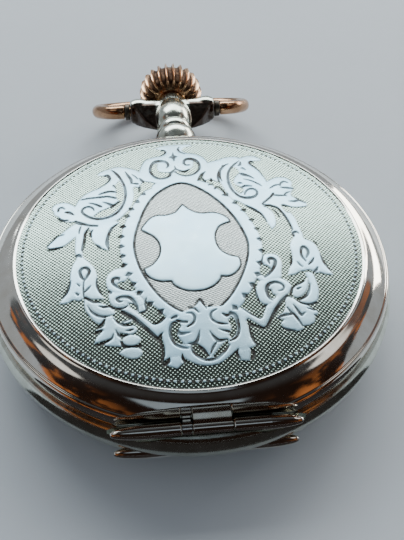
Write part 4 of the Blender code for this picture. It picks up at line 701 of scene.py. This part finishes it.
# Painted shade: a darker copy of the rose gold for the bow, which is of the same gold as the crown.
BOW_GOLD_SHADED = make_rose_gold("rose_gold_shaded", (0.58, 0.35, 0.21), (0.28, 0.15, 0.08))
YOKE_SILVER = make_yoke_silver()
ENAMEL = make_enamel()
INK = make_ink()
GLASS = make_glass()
RUBY = make_ruby()
ENGRAVED = make_engraved_silver()


# ---------------------------------------------------------------- meshes

def mesh_from(name, verts, faces):
    """Mesh in metres from points in millimetres, with its faces turned outward."""
    mesh = bpy.data.meshes.new(name)
    mesh.from_pydata([tuple(c * MM for c in v) for v in verts], [], faces)
    work = bmesh.new()
    work.from_mesh(mesh)
    bmesh.ops.recalc_face_normals(work, faces=work.faces)
    work.to_mesh(mesh)
    work.free()
    return mesh


def lathe(name, profile, centre=(0, 0, 0), axis="Z", segments=288):
    """Closed (radius, height) outline turned about an axis through centre."""
    rings, verts, faces = [], [], []
    for radius, height in profile:
        count = 1 if abs(radius) < 1e-6 else segments
        rings.append(range(len(verts), len(verts) + count))
        for i in range(count):
            a = math.tau * i / segments
            u, v = radius * math.cos(a), radius * math.sin(a)
            local = {"X": (height, u, v), "Y": (v, height, u), "Z": (u, v, height)}[axis]
            verts.append(tuple(c + o for c, o in zip(local, centre)))
    for low, high in zip(rings, rings[1:] + rings[:1]):
        if len(low) == 1 and len(high) == 1:
            continue
        for i in range(segments):
            j = (i + 1) % segments
            corners = [low[i % len(low)], low[j % len(low)], high[j % len(high)], high[i % len(high)]]
            faces.append(list(dict.fromkeys(corners)))
    return mesh_from(name, verts, faces)


def rod(radius, low, high, centre, axis, segments):
    """Plain cylinder between two heights on an axis through centre."""
    return lathe("rod", [(0, low), (radius, low), (radius, high), (0, high)], centre, axis, segments)


def block(name, low, high):
    corners = [(x, y, z) for x in (low[0], high[0]) for y in (low[1], high[1]) for z in (low[2], high[2])]
    faces = [(0, 1, 3, 2), (4, 6, 7, 5), (0, 4, 5, 1), (2, 3, 7, 6), (0, 2, 6, 4), (1, 5, 7, 3)]
    return mesh_from(name, corners, faces)


def prisms(name, outlines, low, high):
    """One straight-sided solid between two heights for each outline."""
    verts, faces = [], []
    for points in outlines:
        start, count = len(verts), len(points)
        verts += [(x, y, z) for z in (low, high) for x, y in points]
        faces += [tuple(range(start, start + count)), tuple(range(start + count, start + 2 * count))]
        faces += [(start + i, start + (i + 1) % count, start + count + (i + 1) % count, start + count + i)
                  for i in range(count)]
    return mesh_from(name, verts, faces)


def skin(name, rings):
    """Closed solid through rings of points that all have the same count."""
    sides = len(rings[0])
    faces = [tuple(range(sides)), tuple(range((len(rings) - 1) * sides, len(rings) * sides))]
    for start in range(0, (len(rings) - 1) * sides, sides):
        for i in range(sides):
            j = (i + 1) % sides
            faces.append((start + i, start + j, start + sides + j, start + sides + i))
    return mesh_from(name, [vert for ring in rings for vert in ring], faces)


def evaluated(mesh, *modifiers):
    """The mesh after a list of (type, settings) modifiers."""
    carrier = bpy.data.objects.new("carrier", mesh)
    bpy.context.scene.collection.objects.link(carrier)
    for kind, settings in modifiers:
        modifier = carrier.modifiers.new(kind, kind)
        for key, value in settings.items():
            setattr(modifier, key, value)
    bpy.context.view_layer.update()
    graph = bpy.context.evaluated_depsgraph_get()
    result = bpy.data.meshes.new_from_object(carrier.evaluated_get(graph))
    result.name = mesh.name
    bpy.data.objects.remove(carrier)
    return result


def combine(mesh, tool, operation):
    """The mesh after one exact Boolean with a tool."""
    cutter = bpy.data.objects.new("cutter", tool)
    bpy.context.scene.collection.objects.link(cutter)
    result = evaluated(mesh, ("BOOLEAN", {"object": cutter, "operation": operation, "solver": "EXACT"}))
    bpy.data.objects.remove(cutter)
    return result


def cut(mesh, *tools):
    for tool in tools:
        mesh = combine(mesh, tool, "DIFFERENCE")
    return mesh


def join(mesh, *tools):
    for tool in tools:
        mesh = combine(mesh, tool, "UNION")
    return mesh


def shaded(mesh, angle=32):
    """Smooth shading with the edges over an angle kept sharp."""
    mesh.polygons.foreach_set("use_smooth", [True] * len(mesh.polygons))
    mesh.set_sharp_from_angle(angle=math.radians(angle))
    return mesh


def piece(name, mesh, body, material, nodes=()):
    """An object that rides a body and stands for the CAD nodes it is given."""
    obj = bpy.data.objects.new(name, mesh)
    bpy.context.scene.collection.objects.link(obj)
    mesh.materials.clear()
    mesh.materials.append(material)
    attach(obj, body)
    if nodes:
        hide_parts(*nodes)
    return obj


# ---------------------------------------------------------------- engraved back

def dome(radius):
    """Height of the back's crowned surface."""
    return DOME_TOP - DOME_FALL * (radius / DOME_R) ** 2.1


def ornament(places):
    """Signed distances of the plain ornament, its cuts and the oval field, in pattern millimetres."""
    shapes = field_of(places, [outline(s) for s in PLAIN], distance_inside)
    pockets = field_of(places, [outline(s) for s in POCKETS], distance_inside)
    cuts = field_of(places, [spline(s, False, 4) for s in CUTS], distance_in_stroke)
    oval = distance_inside(places, outline(OVAL))
    cos, sin = math.cos(SHIELD_TURN), math.sin(SHIELD_TURN)
    shield = field_of(places, [outline(SHIELD) @ ((cos, sin), (-sin, cos))], distance_inside)
    band = np.minimum(-oval, oval + OVAL_BAND)
    below = places[:, 1] < -9
    plain = np.maximum(np.where(below, shapes, np.minimum(shapes, -oval)), band)
    plain = np.maximum(np.minimum(plain, -pockets), shield)
    for x, y, size in BITES:
        outward = np.array((x, 0.45 * (y + 1))) / math.hypot(x, 0.45 * (y + 1))
        off = places - (x, y) - outward * 0.1
        away, along = off @ outward, off @ (-outward[1], outward[0])
        bite = size + 0.04 - 0.75 * np.abs(away) - 1.1 * np.abs(along) - 0.35 * along
        cuts = np.maximum(cuts, 0.8 * bite)
    covered = below & (shapes > 0)
    cuts = np.maximum(cuts, np.where(covered, -REACH, 0.12 - np.abs(oval)))
    cuts = np.maximum(cuts, 0.07 - np.abs(shield))
    return plain, cuts, oval


def engraved_disc():
    """Relief plate that fills the back inside its thin raised line."""
    count = int(DISC_R / GRID_STEP) + 1
    steps = np.arange(-count, count + 1) * GRID_STEP
    grid_x, grid_y = np.meshgrid(steps, steps)
    radius = np.hypot(grid_x, grid_y)
    middle = (radius[:-1, :-1] + radius[1:, :-1] + radius[:-1, 1:] + radius[1:, 1:]) / 4
    used = middle < DISC_R - GRID_STEP * 0.3
    side = len(steps)
    row, column = np.nonzero(used)
    corner = row * side + column
    faces = np.stack([corner, corner + 1, corner + 1 + side, corner + side], 1)
    kept, faces = np.unique(faces, return_inverse=True)
    faces = faces.reshape(-1, 4)
    x, y = grid_x.ravel()[kept], grid_y.ravel()[kept]
    edges = np.sort(np.concatenate([faces[:, [i, (i + 1) % 4]] for i in range(4)]), 1)
    pairs, uses = np.unique(edges, axis=0, return_counts=True)
    border = np.unique(pairs[uses == 1])
    scale = DISC_R / np.hypot(x[border], y[border])
    x[border] *= scale
    y[border] *= scale
    radius = np.hypot(x, y)
    places = np.stack([x, y], 1)
    plain, cuts, field = ornament(places)
    dots = np.cos(math.tau * x / DOT_WAVE) * np.cos(math.tau * y / DOT_WAVE)
    angle = np.arctan2(y, x)
    turn = np.round(angle / math.tau * BEAD_COUNT) / BEAD_COUNT * math.tau
    bead = BEAD_R - np.hypot(x - BEAD_TRACK * np.cos(turn), y - BEAD_TRACK * np.sin(turn))
    edge = np.abs(radius - BEAD_TRACK) - BEAD_BAND
    ground = smooth_step(-plain, 0.0, 0.1) * smooth_step(edge, -0.05, 0.05)
    relief = RAISED * smooth_step(plain, -0.07, 0.07) + PILLOW * np.sqrt(np.clip(plain, 0, 0.6) / 0.6)
    relief = relief - CUT_DEPTH * smooth_step(cuts, -0.08, 0.08)
    relief = relief - DOT_DEPTH * np.clip(dots, 0, 1) * ground
    relief = relief + np.where(edge < 0, RAISED * smooth_step(bead, -0.05, 0.2), 0)
    between = (np.floor(angle / math.tau * BEAD_COUNT) + 0.5) / BEAD_COUNT * math.tau
    pit = BEAD_PIT_R - np.hypot(x - BEAD_TRACK * np.cos(between), y - BEAD_TRACK * np.sin(between))
    relief = np.where(radius > DISC_R - 0.12, 0.0, relief)
    cuts = np.where(edge < 0, np.maximum(cuts, pit), cuts)
    plain = np.where(edge < 0, np.maximum(plain, bead - 0.12), plain)
    cos, sin = math.cos(PATTERN_TURN), math.sin(PATTERN_TURN)
    top = np.stack([x * cos - y * sin, x * sin + y * cos, dome(radius) + relief], 1)
    mesh = bpy.data.meshes.new("engraved_disc")
    mesh.from_pydata((top * MM).tolist(), [], faces.tolist())
    for key, values in (("plain", plain), ("cut", cuts), ("field", field)):
        mesh.attributes.new(key, "FLOAT", "POINT").data.foreach_set("value", values.astype(np.float32))
    work = bmesh.new()
    work.from_mesh(mesh)
    rim = [e for e in work.edges if e.is_boundary]
    made = bmesh.ops.extrude_edge_only(work, edges=rim)["geom"]
    floor = [g for g in made if isinstance(g, bmesh.types.BMVert)]
    for vert in floor:
        vert.co.z = (dome(DISC_R) - 0.3) * MM
    bmesh.ops.holes_fill(work, edges=[e for e in work.edges if e.is_boundary])
    bmesh.ops.recalc_face_normals(work, faces=work.faces)
    work.to_mesh(mesh)
    work.free()
    return shaded(mesh, 60)


def hinge_knuckle(span, height, tab_low, tab_high):
    """Flat tab and chamfered tube that hang a cover on its hinge line."""
    face = TUBE_R - 0.09
    half = [(0, span[0]), (face, span[0]), (TUBE_R, span[0] + 0.09)]
    profile = half + [(TUBE_R, span[1] - 0.09), (face, span[1]), (0, span[1])]
    tube = lathe("knuckle", profile, (0, HINGE_Y, height), "X", 48)
    tab = block("tab", (span[0] + 0.1, HINGE_Y, tab_low), (span[1] - 0.1, -22.8, tab_high))
    return tab, tube


def knuckle_bore(span, height):
    return rod(TUBE_BORE_R, span[0] - 0.5, span[1] + 0.5, (0, HINGE_Y, height), "X", 32)


def beyond(edge_y, low, high):
    """Everything on the hinge side of a straight edge, taken off a cover to clear the hinge."""
    return block("beyond", (-14, -30, low), (14, edge_y, high))


def back_cover():
    """Hollow cover with a sunk seat for the disc, its raised line, the bevel and one knuckle."""
    sunk = [(0, dome(0) - DISC_SINK, 1)] + [(r, dome(r) - DISC_SINK) for r in (7, 12, 16, 19)]
    seat = DISC_R + 0.04
    line = [(21.53, 12.46), (21.63, 12.5), (21.72, 12.49), (21.82, 12.43), (21.93, 12.36, 1)]
    bevel = [(22.8, 12.1), (23.5, 11.72), (24.1, 11.3), (24.5, 10.98, 1), (24.7, 10.93), (24.9, 10.75),
             (25, 10.45), (25.02, 10.0), (25, 9.3), (24.93, 9.05, 1), (0, 9.05, 1)]
    outer = sunk + [(seat, dome(DISC_R) - DISC_SINK, 1), (seat, 12.42, 1)] + line + bevel
    inner = [(0, 12.85, 1), (8, 12.75), (15, 12.4), (21.2, 11.85), (23.4, 11.1), (24.5, 10.2, 1),
             (24.5, 8, 1), (0, 8, 1)]
    cover = lathe("back_cover", outline(outer, 4))
    hollow = cut(lathe("hollow", outline(inner, 3), segments=144), beyond(-22.6, 6, 16))
    cover = cut(cover, beyond(-23.05, 6, 16), hollow)
    cover = join(cover, *hinge_knuckle((-1.65, 2.55), BACK_JOINT_Z, 9.1, 9.7))
    notch = block("notch", (-2.85, -24.9, 8.5), (-1.7, -22.3, 9.6))
    return shaded(cut(cover, knuckle_bore((-1.65, 2.55), BACK_JOINT_Z), notch))


def cuvette():
    profile = [(0, 10.25, 1), (12, 10.15), (18, 9.93), (23.2, 9.5, 1), (24, 9.06, 1), (23.5, 9.06, 1),
               (22.9, 9.18, 1), (17.8, 9.6), (12, 9.84), (0, 9.94, 1)]
    cover = cut(lathe("cuvette", outline(profile, 4), segments=200), beyond(-22.5, 6, 16))
    tube = rod(TUBE_R, -2.75, -1.75, (0, HINGE_Y, BACK_JOINT_Z), "X", 48)
    cover = join(cover, block("tab", (-2.65, HINGE_Y, 9.12), (-1.85, -22.2, 9.4)), tube)
    return shaded(cut(cover, knuckle_bore((-2.75, -1.75), BACK_JOINT_Z)))


def bezel():
    outer = [(24.93, 4.75, 1), (25, 4.5), (24.95, 4.0), (24.7, 3.4), (24.1, 2.6), (23.3, 1.9), (22.2, 1.2),
             (21.5, 0.88), (20.95, 0.75), (20.45, 0.75, 1), (20.45, 1.5, 1), (19.6, 1.5, 1), (19.6, 4.75, 1)]
    inner = [(0, 6, 1), (24.2, 6, 1), (24.2, 4, 1), (23, 2.6, 1), (20.2, 2, 1), (0, 2, 1)]
    hollow = cut(lathe("hollow", outline(inner, 3), segments=144), beyond(-22.6, -2, 8))
    ring = cut(lathe("bezel", outline(outer, 4)), beyond(-23.05, -2, 8), hollow)
    ring = join(ring, *hinge_knuckle((-2.75, 2.55), BEZEL_JOINT_Z, 4.15, 4.65))
    return shaded(cut(ring, knuckle_bore((-2.75, 2.55), BEZEL_JOINT_Z)))


def case_band():
    profile = [(25, 8.95, 1), (25.35, 8.7), (25.6, 8.25), (25.8, 7.4), (25.75, 6.4), (25.45, 5.5),
               (25, 4.85, 1), (21.5, 4.85, 1), (21.5, 8.3, 1), (24.1, 8.3, 1), (24.1, 8.95, 1)]
    band = lathe("case_band", outline(profile, 4))
    grooves = [block("groove", (-10.6, -24.85, low), (10.4, -23.15, high))
               for low, high in ((8.15, 11), (2.8, 5.65))]
    hole = rod(0.95, 20, 30, (0, 0, STEM_Z), "Y", 48)
    return shaded(cut(band, *grooves, hole))


def hinge_tube(name, tip, length, height):
    """Fixed knuckle with a rounded, tapered outer end; a negative length runs the other way."""
    way = math.copysign(1, length)
    end = abs(length)
    points = [(0, 0, 1), (0.2, 0.05), (0.36, 0.3), (0.5, 0.8), (0.6, 1.4), (0.69, 2.3), (TUBE_R, 3.4),
              (TUBE_R, 3.8), (TUBE_R, end - 0.08, 1), (0.68, end, 1), (TUBE_BORE_R, end, 1),
              (TUBE_BORE_R, 0.8, 1), (0, 0.8, 1)]
    profile = [(r, tip + way * h) for r, h in outline(points, 4)]
    return shaded(lathe(name, profile, (0, HINGE_Y, height), "X", 56))


# ---------------------------------------------------------------- pendant, bow and crown

def pendant():
    """Ringed neck and ball in front of a yoke whose dark sloping web runs down from the two lugs."""
    profile = [(0.6, 39.7, 1), (2.1, 39.7, 1), (2.4, 39.4), (2.45, 38.4), (2.5, 37.4), (2.8, 36.4),
               (3.02, 35.2), (3.05, 34.0), (2.85, 32.9), (2.45, 32.0, 1), (2.4, 31.6, 1), (2.8, 31.4),
               (2.92, 30.8), (2.8, 30.1), (2.5, 29.8, 1), (2.5, 29.4, 1), (3.0, 29.2), (3.3, 28.8),
               (3.42, 28.2), (3.38, 27.4), (3.15, 26.6), (2.9, 25.95, 1), (0.9, 25.95, 1), (0.9, 24.3, 1),
               (0.6, 24.3, 1)]
    neck = lathe("pendant", outline(profile, 4), (0, 0, STEM_Z), "Y", 96)
    half = [(2.05, 0), (1.9, 1.6), (1.7, 3.2), (1.9, 4.2), (2.15, 5.3), (2.15, 6.2), (1.95, 6.9),
            (1.55, 7.2)]
    swell = [(r, -h) for r, h in reversed(half)] + half[1:]
    lugs = lathe("lugs", [(0, -7.2)] + swell + [(0, 7.2)], (0, BOW_Y, STEM_Z), "X", 64)
    edge = [(-6.9, 37.4), (-6.3, 35.9), (-4.9, 33.9), (-3.0, 32.2), (3.0, 32.2), (4.9, 33.9), (6.3, 35.9),
            (6.9, 37.4), (6.9, 38.2), (-6.9, 38.2)]
    web = evaluated(prisms("web", [edge], 0, 1), ("REMESH", {"mode": "VOXEL", "voxel_size": 0.18 * MM}))
    for vert in web.vertices:
        rise = max(0.0, min(1.0, (vert.co.y / MM - 32.2) / 4.4))
        vert.co.z = (STEM_Z + (vert.co.z / MM * 2 - 1) * (0.2 + 1.7 * rise)) * MM
    bore = rod(0.6, 20, 42, (0, 0, STEM_Z), "Y", 48)
    holes = [rod(0.85, s * 5.3, s * 8.4, (0, BOW_Y, STEM_Z), "X", 32) for s in (-1, 1)]
    solid = cut(join(neck, lugs, web), bore, *holes)
    return shaded(evaluated(solid, ("REMESH", {"mode": "VOXEL", "voxel_size": 0.11 * MM}),
                            ("SMOOTH", {"factor": 0.5, "iterations": 4})), 70)


def bow():
    """Round wire swept along the loop; the last few millimetres at each end narrow to the pins."""
    half = [(5.5, 0, 0.8), (8.1, 0, 0.8), (8.2, 0, 0.95), (8.35, 0, 1.12), (8.8, 0.03, WIRE_R),
            (9.4, 0.15, WIRE_R), (10.5, 0.65, WIRE_R), (11.4, 1.5, WIRE_R)]
    half += [(BOW_HALF_WIDTH * math.cos(a), BOW_CENTRE + BOW_HALF_LENGTH * math.sin(a), WIRE_R)
             for a in np.radians(np.linspace(-16, 90, 12))]
    right = spline(half[2:], False, 6)
    right = np.concatenate([np.array(half[:2], float), right])
    path = np.concatenate([right, right[-2::-1] * (-1, 1, 1)])
    ahead = np.gradient(path[:, :2], axis=0)
    ahead /= np.linalg.norm(ahead, axis=1)[:, None]
    drop = math.asin((STEM_Z - WIRE_R - BOW_REST_GAP) / (BOW_CENTRE + BOW_HALF_LENGTH))
    tilt = Matrix.Translation((0, BOW_Y, STEM_Z)) @ Matrix.Rotation(-drop, 4, "X")
    around = np.arange(40) / 40 * math.tau
    rings = []
    for (x, y, radius), (dx, dy) in zip(path, ahead):
        offsets = [(radius * math.cos(a), radius * math.sin(a)) for a in around]
        rings.append([tuple(tilt @ Vector((x - dy * out, y + dx * out, up))) for out, up in offsets])
    return shaded(skin("bow", rings))


def crown():
    """Winding knob with narrow rounded ribs, darkened grooves between them and smooth ends."""
    profile = spline([(0.02, 39.95), (0.4, 39.92), (0.72, 39.9), (0.86, 40.1), (0.95, 40.8), (1.0, 42.0),
                      (1.0, 43.1), (0.96, 44.2), (0.84, 44.95), (0.6, 45.25), (0.3, 45.32), (0.02, 45.35)],
                     False, 5)
    around = np.arange(FLUTES * 18) / (FLUTES * 18) * math.tau
    valley = 1 - np.sin(around * FLUTES / 2) ** 6
    rings, grooves = [], []
    for reach, height in profile:
        ribbed = float(smooth_step(reach, 0.5, 0.72))
        radius = CROWN_R * reach * (1 - 0.15 * valley * ribbed)
        across, up = radius * np.sin(around), radius * np.cos(around)
        rings.append([(x, height, STEM_Z + z) for x, z in zip(across, up)])
        grooves.append(smooth_step(valley, 0.3, 0.8) * ribbed)
    mesh = skin("crown", rings)
    mesh.attributes.new("groove", "FLOAT", "POINT").data.foreach_set("value", np.concatenate(grooves))
    return shaded(cut(mesh, rod(0.5, 37, 43.1, (0, 0, STEM_Z), "Y", 32)), 50)


def collar(side):
    profile = [(0.85, 7.3), (1.25, 7.3), (1.35, 7.4), (1.35, 8.0), (1.25, 8.1), (0.85, 8.1)]
    return shaded(lathe("bow_collar", [(r, side * h) for r, h in profile], (0, BOW_Y, STEM_Z), "X", 48))


# ---------------------------------------------------------------- dial

def tick(centre, angle, inner, outer, width):
    """Radial bar at a clockwise angle from the crown side, as the dial is read from below."""
    out = np.array((-math.sin(angle), math.cos(angle)))
    side = np.array((out[1], -out[0])) * width / 2
    corners = ((inner, -1), (outer, -1), (outer, 1), (inner, 1))
    return [np.array(centre) + out * r + side * s for r, s in corners]


def track(centre, radius, count):
    """Thin printed circle as short flat pieces."""
    shapes = []
    for k in range(count):
        a, b = math.tau * k / count, math.tau * (k + 1) / count
        corners = ((radius, a), (radius + TRACK_WIDTH, a), (radius + TRACK_WIDTH, b), (radius, b))
        shapes.append([(centre[0] + r * math.sin(t), centre[1] + r * math.cos(t)) for r, t in corners])
    return shapes


NUMERALS = ("XII", "I", "II", "III", "IIII", "V", "VI", "VII", "VIII", "IX", "X", "XI")
STROKE_SPACING = {"I": 0.62, "V": 1.15, "X": 1.2}
TRACK_WIDTH = 0.1
NUMERAL_R = 16.2
SECONDS_CENTRE = (0, -9)


def numeral_strokes(text):
    """Strokes of a roman numeral as ((x, y), (x, y), width), with its serifs."""
    width = sum(STROKE_SPACING[c] for c in text)
    strokes, x = [], -width / 2
    tall, thick, thin = 1.45, 0.34, 0.12
    for c in text:
        w = STROKE_SPACING[c]
        left, middle, right = x + 0.14, x + w / 2, x + w - 0.14
        if c == "I":
            strokes.append(((middle, -tall), (middle, tall), thick))
        elif c == "V":
            strokes += [((left, tall), (middle, -tall), thick), ((right, tall), (middle, -tall), thin)]
        else:
            strokes += [((left, tall), (right, -tall), thick), ((right, tall), (left, -tall), thin)]
        x += w
    strokes += [((-width / 2, s * tall), (width / 2, s * tall), thin) for s in (-1, 1)]
    return strokes


def dial_shapes():
    """Minute track, roman hours and seconds track as outlines in dial millimetres, seen from below."""
    shapes = []
    for minute in range(60):
        angle = math.tau * minute / 60
        wide = 0.34 if minute % 5 == 0 else 0.14
        shapes.append(tick((0, 0), angle, 18.75, 19.75, wide))
    shapes += track((0, 0), 18.7, 180) + track((0, 0), 19.75, 180)
    for hour, text in enumerate(NUMERALS):
        if hour == 6:
            continue
        angle = math.tau * hour / 12
        out = np.array((-math.sin(angle), math.cos(angle)))
        across = np.array((-out[1], out[0]))
        for (x0, y0), (x1, y1), width in numeral_strokes(text):
            ends = [out * (NUMERAL_R + y) + across * x for x, y in ((x0, y0), (x1, y1))]
            run = ends[1] - ends[0]
            side = np.array((-run[1], run[0])) / np.linalg.norm(run) * width / 2
            shapes.append([ends[0] + side, ends[1] + side, ends[1] - side, ends[0] - side])
    for second in range(60):
        inner = 3.75 if second % 5 == 0 else 4.1
        shapes.append(tick(SECONDS_CENTRE, math.tau * second / 60, inner, 4.5, TRACK_WIDTH))
    return shapes + track(SECONDS_CENTRE, 4.45, 90)


# ---------------------------------------------------------------- assembly

piece("engraved_disc", engraved_disc(), "back_cover", ENGRAVED)
piece("back_cover_shell", back_cover(), "back_cover", SILVER, ("back_cover",))
piece("cuvette_fine", cuvette(), "cuvette", SILVER_PLAIN, ("cuvette",))
piece("case_band_fine", case_band(), "case", SILVER_WORN, ("case_band",))
piece("bezel_fine", bezel(), "bezel", SILVER_WORN, ("bezel",))
CRYSTAL = [(0, 1.4), (20.35, 1.4), (20.35, 0.7), (20.2, 0.6), (18.7, 0.03), (18.5, 0), (0, 0)]
piece("crystal_fine", shaded(lathe("crystal", CRYSTAL)), "bezel", GLASS, ("crystal",))
for prefix, height in (("back_hinge", BACK_JOINT_Z), ("bezel_hinge", BEZEL_JOINT_Z)):
    for side, tip, length in (("left", -10.2, 7.35), ("right", 10.0, -7.35)):
        name = prefix + "_tube_" + side
        piece(name + "_fine", hinge_tube(name, tip, length, height), "case", SILVER, (name,))
piece("pendant_fine", pendant(), "case", YOKE_SILVER, ("pendant",))
piece("bow_fine", bow(), "bow", BOW_GOLD_SHADED, ("bow",))
piece("crown_fine", crown(), "crown", ROSE_GOLD, ("crown",))
for side, sign in (("left", -1), ("right", 1)):
    name = "bow_collar_" + side
    piece(name + "_fine", collar(sign), "case", DARK_STEEL, (name,))
piece("dial_marks", prisms("dial_marks", dial_shapes(), 2.98, 3.01), "case", INK)

CAD_MATERIALS = {
    "silver": SILVER_PLAIN, "polished_steel": STEEL, "nickel": NICKEL, "blued_steel": BLUED, "ruby": RUBY,
    "gilt_brass": GILT, "rose_gold": ROSE_GOLD, "dark_steel": DARK_STEEL, "crystal_glass": GLASS,
    "enamel": ENAMEL,
}
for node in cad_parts.values():
    for holder in node.material_slots:
        if holder.material:
            holder.material = CAD_MATERIALS[holder.material.name.split(".")[0]]


# ---------------------------------------------------------------- setting, light and camera

def surroundings(name, mesh, material):
    obj = bpy.data.objects.new(name, mesh)
    bpy.context.scene.collection.objects.link(obj)
    mesh.materials.append(material)
    return obj


def make_floor():
    shader = Shader("table", Specular_IOR_Level=0.3)
    shader.put("Base Color", shader.mix(shader.noise(0.02, 6), (0.50, 0.53, 0.57), (0.56, 0.59, 0.63)))
    shader.put("Roughness", shader.span(shader.noise(0.4, 4), 0.3, 0.7, 0.6, 0.75))
    surroundings("table", block("table", (-1500, -1500, -20), (1500, 1500, -0.02)), shader.material)


CARD_R = 400
CARD_FLOOR_R = 29


def make_dark_card():
    """Glowing surround on the hinge side, seen only in reflections, that paints reflected shade and light:
    black brown below and on a strip over the floor in front, in place of the shaded table, greyer overhead,
    with a bluish window patch, bright patches high at both sides and warm orange clouds low at the sides.
    """
    shader = Shader("surround", Base_Color=(0.0, 0.0, 0.0), Specular_IOR_Level=0.0, Emission_Strength=1.0)
    x, y, z = shader.split(shader.place)
    aside = shader.span(shader.math("ABSOLUTE", x), 120, 260, soft=True)
    low_down = shader.span(z, 330, 160, soft=True)
    cloud = shader.span(shader.noise(0.013, 4), 0.50, 0.60, soft=True)
    warm = shader.times(shader.times(aside, low_down), cloud)
    overhead = shader.span(y, -160, 260, soft=True)
    base = shader.mix(overhead, (0.014, 0.008, 0.006), (0.08, 0.09, 0.10))
    base = shader.mix(shader.spot((-21, -212, 339), (130, 200, 32)), base, (0.24, 0.29, 0.34))
    for side in (-1, 1):
        base = shader.mix(shader.spot((250 * side, 20, 312), (60, 70, 50)), base, (0.95, 0.93, 0.90))
    shader.put("Emission Color", shader.mix(warm, base, (0.50, 0.17, 0.05)))
    verts, faces, columns, rises = [], [], 25, 23
    for side in np.radians(np.linspace(-60, 60, columns)):
        sin, cos = math.sin(side), math.cos(side)
        verts += [(CARD_R * sin, -CARD_R * cos * math.cos(rise), CARD_R * cos * math.sin(rise))
                  for rise in np.radians(np.linspace(1, 127, rises))]
        # Strip over the floor in front: painted shade for the table, seen only in reflections.
        verts += [(r * sin, -r * cos, 0.01) for r in (CARD_FLOOR_R, CARD_R)]
    stride = rises + 2
    for start in range(0, (columns - 1) * stride, stride):
        for low in [*range(start, start + rises - 1), start + rises]:
            faces.append((low, low + stride, low + stride + 1, low + 1))
    card = surroundings("surround", mesh_from("surround", verts, faces), shader.material)
    card.visible_camera = False
    card.visible_diffuse = False
    card.visible_shadow = False


def direction(azimuth, height):
    """Unit vector from the watch toward an azimuth from +X and an elevation, in degrees."""
    azimuth, height = math.radians(azimuth), math.radians(height)
    level = math.cos(height)
    return Vector((level * math.cos(azimuth), level * math.sin(azimuth), math.sin(height)))


def make_light(name, toward, distance, size, power, colour):
    """Soft panel that looks at the watch."""
    data = bpy.data.lights.new(name, "AREA")
    data.shape = "RECTANGLE"
    data.size, data.size_y = (s * MM for s in size)
    data.energy = power
    data.color = colour
    lamp = bpy.data.objects.new(name, data)
    turn = toward.to_track_quat("Z", "Y").to_matrix().to_4x4()
    lamp.matrix_world = Matrix.Translation(toward * distance * MM) @ turn
    bpy.context.scene.collection.objects.link(lamp)


CAMERA_DISTANCE = 80.42


def make_camera():
    """Close hand-held view from the hinge side, almost square to the crown's axis."""
    back = direction(-94.23, 46.32)
    across = Vector((0, 0, 1)).cross(back).normalized()
    aim = Matrix((across, back.cross(across), back))
    for degrees, axis in ((0.93, "X"), (1.10, "Y"), (0.60, "Z")):
        aim = Matrix.Rotation(math.radians(degrees), 3, axis) @ aim
    data = bpy.data.cameras.new("camera")
    data.sensor_fit = "VERTICAL"
    data.sensor_height = 36
    data.lens = 41.3333
    data.clip_start = 0.005
    camera = bpy.data.objects.new("camera", data)
    place = back * CAMERA_DISTANCE + Vector((0, 0, BACK_JOINT_Z))
    camera.matrix_world = Matrix.Translation(place * MM) @ aim.transposed().to_4x4()
    bpy.context.scene.collection.objects.link(camera)
    bpy.context.scene.camera = camera


make_floor()
make_dark_card()
make_light("sky", direction(90, 43), 600, (760, 330), 5.0, (0.90, 0.98, 1.0))
make_light("side", direction(40, 16), 700, (420, 200), 2.2, (1.0, 0.97, 0.90))
make_camera()
world = bpy.data.worlds.new("world")
world.use_nodes = True
background = world.node_tree.nodes["Background"].inputs
background["Color"].default_value = (0.62, 0.67, 0.72, 1)
background["Strength"].default_value = 0.55
bpy.context.scene.world = world
